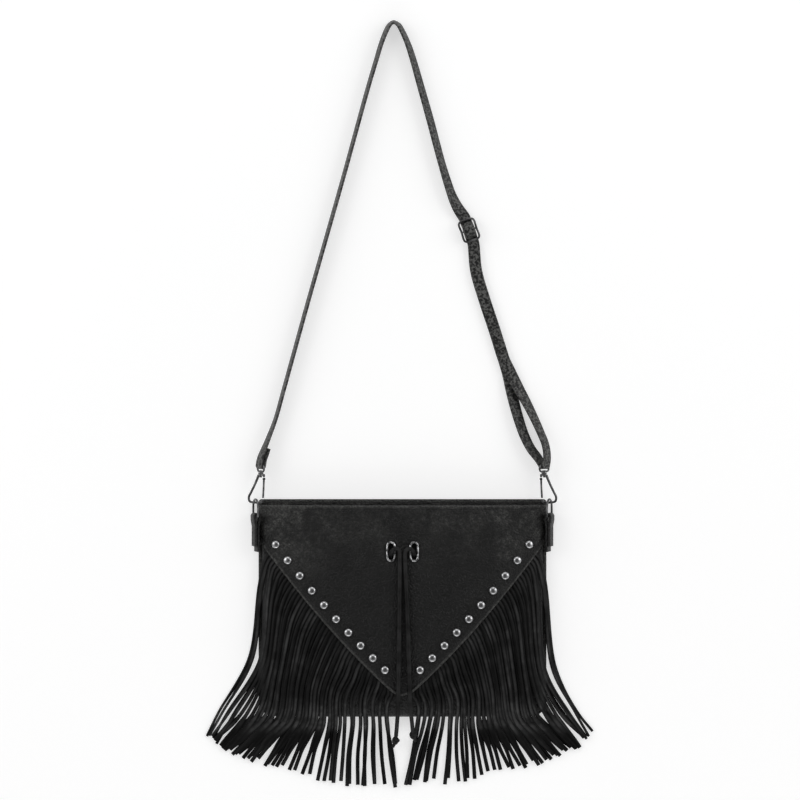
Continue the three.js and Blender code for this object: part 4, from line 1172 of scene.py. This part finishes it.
# The hook's wire and its gate, as places out from the swivel and up from it
HOOK_LINE = [
    (2, 0.4), (3.3, -3.2), (5.8, -9), (9, -15.6), (11, -20), (10.2, -23.9), (5.4, -25), (0.8, -24.9),
    (-1.8, -23.3), (-2, -22.2),
]
GATE_LINE = [(-2.8, -3.9), (-2.5, -12), (-2, -20.8)]
COLLAR = [
    (1.15, -0.6), (2.2, -0.6), (2.5, -0.3), (2.5, 0.3), (2.3, 0.5), (2.3, 1.6), (2.5, 1.8), (2.5, 2.3),
    (2.2, 2.6), (1.15, 2.6),
]
STEM = [
    (0.05, -1.95), (1.1, -1.95), (1.25, -1.8), (1.25, -1.1), (1.1, -0.95), (0.8, -0.95), (0.8, 3.4),
    (0.05, 3.4),
]
KNUCKLE = [(1.1, -1.1), (1.3, -0.95), (1.3, 0), (1.3, 0.95), (1.1, 1.1)]


def hook_points(line):
    return [SWIVEL_AT + Vector((out, up, 0)) for out, up in line]


def upright(build, profile, closed=False):
    """A shape turned about the swivel's upright axis."""
    rings = turned(profile, 28)
    return build.loft([[SWIVEL_AT + Vector((p.x, p.z, -p.y)) for p in ring] for ring in rings], closed)


def make_hook(name, side):
    radius = HOOK_WIRE / 2

    def tapered(t):
        return radius * (1.12 - 0.12 * smooth(t, 0, 0.25) - 0.15 * smooth(t, 0.94, 1))

    hook = upright(Build(), COLLAR, closed=True)
    hook.tube(hook_points(HOOK_LINE), tapered, 90, sides=16)
    hook.box(SWIVEL_AT + Vector((-2.9, -0.25, 0)), (2, 2.9, 2.2), 0.45)
    add_piece(f"hook_wire_{name}", hook.mirrored(side), NICKEL, [f"hook_{name}"], f"hook_{name}_body", 45)
    gate = Build().tube(hook_points(GATE_LINE), radius * 0.85, 24)
    pivot = hook_points([(-2.9, -3.4)])[0]
    gate.loft([[pivot + p for p in ring] for ring in turned(KNUCKLE, 20)])
    add_piece(f"gate_{name}", gate.mirrored(side), NICKEL, [f"hook_gate_{name}"], f"gate_{name}_body", 45)


def make_eye(name, side):
    lean = EYE_LEAN[name] if side > 0 else pi - EYE_LEAN[name]
    half = EYE_INNER / 2 + EYE_WIRE / 2
    bend = 1.5
    low, bar = EYE_LOW_Y, EYE_BAR_Y
    loop = [
        (0, low), (half - bend, low), (half, low + bend), (half, bar - bend), (half - bend, bar),
        (0, bar), (bend - half, bar), (-half, bar - bend), (-half, low + bend), (bend - half, low),
    ]
    points = [(SWIVEL_X + a * cos(lean), y, HARDWARE_Z + a * sin(lean)) for a, y in loop]
    eye = upright(Build().tube(points, EYE_WIRE / 2, 96, True), STEM).mirrored(side)
    add_piece(f"eye_{name}", eye, NICKEL, [f"swivel_eye_{name}"], crisp=45)


# Strap. A station is a centre with the direction of the band's width, or with its tilt in degrees.


def standing(places):
    """Stations for the band on the floor, from x, y, tilt and sometimes a lift off the floor."""
    stations = []
    for x, y, tilt, *lift in places:
        a = radians(tilt)
        rest = SEAT_GAP + STRAP_WIDTH / 2 * abs(sin(a)) + STRAP_THICK / 2 * abs(cos(a))
        stations.append((Vector((x, y, rest + sum(lift))), tilt))
    return stations


def round_eye(side, lean):
    """Stations for the half turn around a swivel eye's bar."""
    radius = EYE_WIRE / 2 + SEAT_GAP + STRAP_THICK / 2
    across = Vector((-sin(lean), 0, cos(lean))) * radius
    bar = Vector((side * SWIVEL_X, EYE_BAR_Y, HARDWARE_Z))
    width = Vector((cos(lean), 0, sin(lean)))
    low = Vector((0, radius, 0))
    return [(bar + across * cos(a) - low * sin(a), width) for a in spread(6, 0, pi)]


def through_slider(places):
    """Stations by the strap slider, from distances along its line and heights."""
    width = Vector((SLIDER_LINE.y, -SLIDER_LINE.x, 0))
    return [(SLIDER_AT + SLIDER_LINE * distance + Vector((0, 0, z)), width) for distance, z in places]


def strap_stations():
    """From the end sewn around the slider's bar down to the right eye, back up, and over to the left."""
    loop_radius = SLIDER_WIRE / 2 + SEAT_GAP + STRAP_THICK / 2
    step = STRAP_THICK + SEAT_GAP
    low = SEAT_GAP + STRAP_THICK / 2
    high = low + step
    reach = SLIDER_HALF
    turns = [radians(degrees) for degrees in spread(7, 40, 270)]
    sewn = [(loop_radius * cos(a), SLIDER_BAR_Z + loop_radius * sin(a)) for a in turns]
    away = through_slider(sewn + [(4.5, 2.6), (reach, low), (reach + 3, low)])
    doubled = [(68, 312), (75.8, 284.9), (85, 257.2)]
    inner = standing([(x, y, 180) for x, y in doubled] + [
        (93.8, 229.4, 178), (97.6, 216, 172), (100.2, 203, 163), (103.3, 189, 154), (107.5, 174, 148),
        (112.3, 160, 143, 0.4), (118.5, 147.5, 138, 1.2), (125.2, 138.5, 134, 2.1),
    ])
    outer = standing([
        (133.2, 140, 52, 3.8), (131.8, 151, 53, 2.2), (127.6, 162, 52, 1), (121.8, 175, 48, 0.3),
        (115.2, 188.5, 41), (108.6, 200.5, 30, 0.5), (102.6, 211.5, 14, 1.6), (97.4, 222, 3, step),
        (93.8, 229.4, 0, step),
    ] + [(x, y, 0, step) for x, y in reversed(doubled)])
    back = through_slider([
        (reach + 3, high), (reach, high), (8, 3.7), (5.4, 6.2), (3.2, 9.2),
        (0, SLIDER_BAR_Z + loop_radius + step + 0.1), (-3.2, 9.2), (-5.4, 6.2), (-8, 3.7), (-reach, high),
        (-reach - 3, low + 0.4),
    ])
    limb = standing([
        (51.9, 368.6, 20), (47.9, 376, 34), (44.6, 384, 45), (36.5, 409.8, 54), (25.4, 451.4, 54),
        (17.6, 479.2, 56), (9.7, 506.9, 60), (5.1, 520.8, 63), (-0.6, 533.6, 66), (-3.9, 538.8, 67),
        (-8.3, 541, 68), (-12.2, 538.2, 68), (-14.8, 533.6, 68), (-19.8, 520.8, 70), (-24, 506.9, 71),
        (-32.2, 479.2, 72), (-55.1, 395.9, 73), (-86.6, 284.9, 73), (-109.6, 201.7, 73),
        (-117.4, 173.9, 73), (-123.4, 158, 70, 0.8), (-127.8, 147, 65, 1.8), (-131, 139, 62, 3.2),
    ])
    lean = EYE_LEAN["left"]
    turned_in = Vector((sin(lean), 0, -cos(lean)))
    left_loop = round_eye(-1, lean)
    tail = [
        (Vector((drift - SWIVEL_X, y, HARDWARE_Z)) + turned_in * out, left_loop[0][1])
        for y, out, drift in ((137, 1.6, 1.3), (142, 2.1, 2.6), (148, 2.2, 4.3))
    ]
    return away + inner + round_eye(1, EYE_LEAN["right"]) + outer + back + limb + left_loop + tail


def around_point(items, i):
    """The items before and after one, or itself at an end."""
    return items[max(i - 1, 0)], items[min(i + 1, len(items) - 1)]


def strap_run(samples=6):
    """Centres, width and thickness directions along the strap."""
    stations = strap_stations()
    centres = [at for at, _ in stations]
    widths = []
    for i, (_, how) in enumerate(stations):
        if not isinstance(how, Vector):
            before, after = around_point(centres, i)
            flat = Vector((after.x - before.x, after.y - before.y, 0)).normalized()
            a = radians(how)
            how = Vector((-flat.y * cos(a), flat.x * cos(a), sin(a)))
        widths.append(how)
    points = with_ends(centres)
    dense = []
    for i in range(len(stations) - 1):
        for k, at in enumerate(curve_part(points[i:i + 4], samples)):
            dense.append((at, widths[i].lerp(widths[i + 1], k / samples)))
    dense.append((centres[-1], widths[-1]))
    run = []
    for j, (at, width) in enumerate(dense):
        before, after = around_point(dense, j)
        ahead = (after[0] - before[0]).normalized()
        thick = ahead.cross(width).normalized()
        run.append((at, thick.cross(ahead).normalized(), thick))
    return run


def make_strap():
    run = strap_run()
    half, thin = STRAP_WIDTH / 2, STRAP_THICK / 2
    seam = half - 1.5
    section = [
        (half, 0.45), (half - 0.25, 0.85), (half - 0.9, 1), (seam, 0.9), (half - 2.1, 1), (2.1 - half, 1),
        (-seam, 0.9), (0.9 - half, 1), (0.25 - half, 0.85), (-half, 0.45),
    ]
    section += [(w, -h) for w, h in reversed(section)]
    rings = [[at + width * w + thick * (thin * h) for w, h in section] for at, width, thick in run]
    add_piece("strap_band", Build().loft(rings), STRAP, ["strap"], crisp=60)
    build = Build()
    for face in (1, -1):
        for edge in (1, -1):
            path = [at + width * (edge * seam) + thick * (face * thin * 0.9) for at, width, thick in run]
            build.stitches(path, [thick * face for _, _, thick in run], 3.6, 2.6, 0.26)
    add_piece("strap_stitches", build, THREAD)


def make_strap_slider():
    """A wire frame with a thinner bar across its middle."""
    across = STRAP_WIDTH / 2 + SLIDER_GAP + SLIDER_WIRE / 2
    bend = 1.5
    run = SLIDER_HALF
    corners = [
        (run, 0), (run, across - bend), (run - bend, across), (0, across), (bend - run, across),
        (-run, across - bend), (-run, bend - across), (bend - run, -across), (0, -across),
        (run - bend, -across), (run, bend - across),
    ]
    turn = Matrix.Rotation(atan2(SLIDER_LINE.y, SLIDER_LINE.x), 3, "Z")

    def placed(points):
        return [turn @ Vector((d, w, 0)) + SLIDER_AT + Vector((0, 0, SLIDER_BAR_Z)) for d, w in points]

    build = Build().tube(placed(corners), SLIDER_WIRE / 2, 110, True, 16)
    build.tube(placed([(0, -across), (0, 0), (0, across)]), SLIDER_WIRE * 0.45, 10)
    add_piece("slider_frame", build, NICKEL, ["strap_slider"])


for make in (make_front, make_lining, make_v_panel, make_back, make_panel_stitches, make_studs, make_zip):
    make()
make_strap()
make_strap_slider()
for side_name, side_sign in SIDES.items():
    for make in (make_fringe, make_eyelet, make_tab, make_ring, make_hook, make_eye):
        make(side_name, side_sign)
make_zip_metal()


# Studio


def make_floor():
    """A pale floor, which shows white to the camera and in reflections."""
    reach = 30
    corners = [(-reach, -reach), (reach, -reach), (reach, reach), (-reach, reach)]
    mesh = bpy.data.meshes.new("floor")
    mesh.from_pydata([(x, y, -0.0002) for x, y in corners], [], [(0, 1, 2, 3)])
    s = Shader("floor")
    pale = s.ramp(s.noise(0.6, 2), (0.2, 0.6), (0.8, 0.62))
    s.set(Base_Color=pale, Roughness=0.9, Specular_IOR_Level=0.1)
    rays = s.node("ShaderNodeLightPath").outputs
    seen = s.sum(rays["Is Camera Ray"], rays["Is Glossy Ray"], "MAXIMUM")
    seen = s.sum(seen, rays["Is Transmission Ray"], "MAXIMUM")
    s.set(Emission_Color=(1, 1, 1), Emission_Strength=s.times(seen, 0.53))
    mesh.materials.append(s.material)
    put("floor", mesh)


def add_light(name, at, size, power):
    data = bpy.data.lights.new(name, "AREA")
    data.shape = "RECTANGLE"
    data.size, data.size_y = size
    data.energy = power
    light = put(name, data)
    light.location = at
    light.rotation_euler = (Vector((0, 0.08, 0)) - Vector(at)).to_track_quat("-Z", "Y").to_euler()


def make_world():
    """A dome that is dim overhead and bright lower down."""
    world = bpy.data.worlds.new("studio")
    bpy.context.scene.world = world
    world.use_nodes = True
    tree = world.node_tree
    coords = tree.nodes.new("ShaderNodeTexCoord")
    height = tree.nodes.new("ShaderNodeSeparateXYZ")
    ramp = tree.nodes.new("ShaderNodeValToRGB")
    fill_ramp(ramp.color_ramp, [(0.0, 0.55), (0.3, 0.75), (0.62, 0.6), (0.84, 0.18), (1.0, 0.07)])
    tree.links.new(coords.outputs["Generated"], height.inputs[0])
    tree.links.new(height.outputs["Z"], ramp.inputs["Fac"])
    tree.links.new(ramp.outputs["Color"], tree.nodes["Background"].inputs["Color"])


make_floor()
make_world()
add_light("left", (-2.0, 0.9, 1.2), (1.4, 1.6), 15)
add_light("right", (2.0, 0.9, 1.2), (1.4, 1.6), 15)
add_light("top", (0, 2.3, 1.3), (1.8, 1.0), 8)
add_light("bottom", (0, -2.1, 0.9), (2.2, 0.8), 11)
bpy.context.scene.view_settings.view_transform = "Standard"
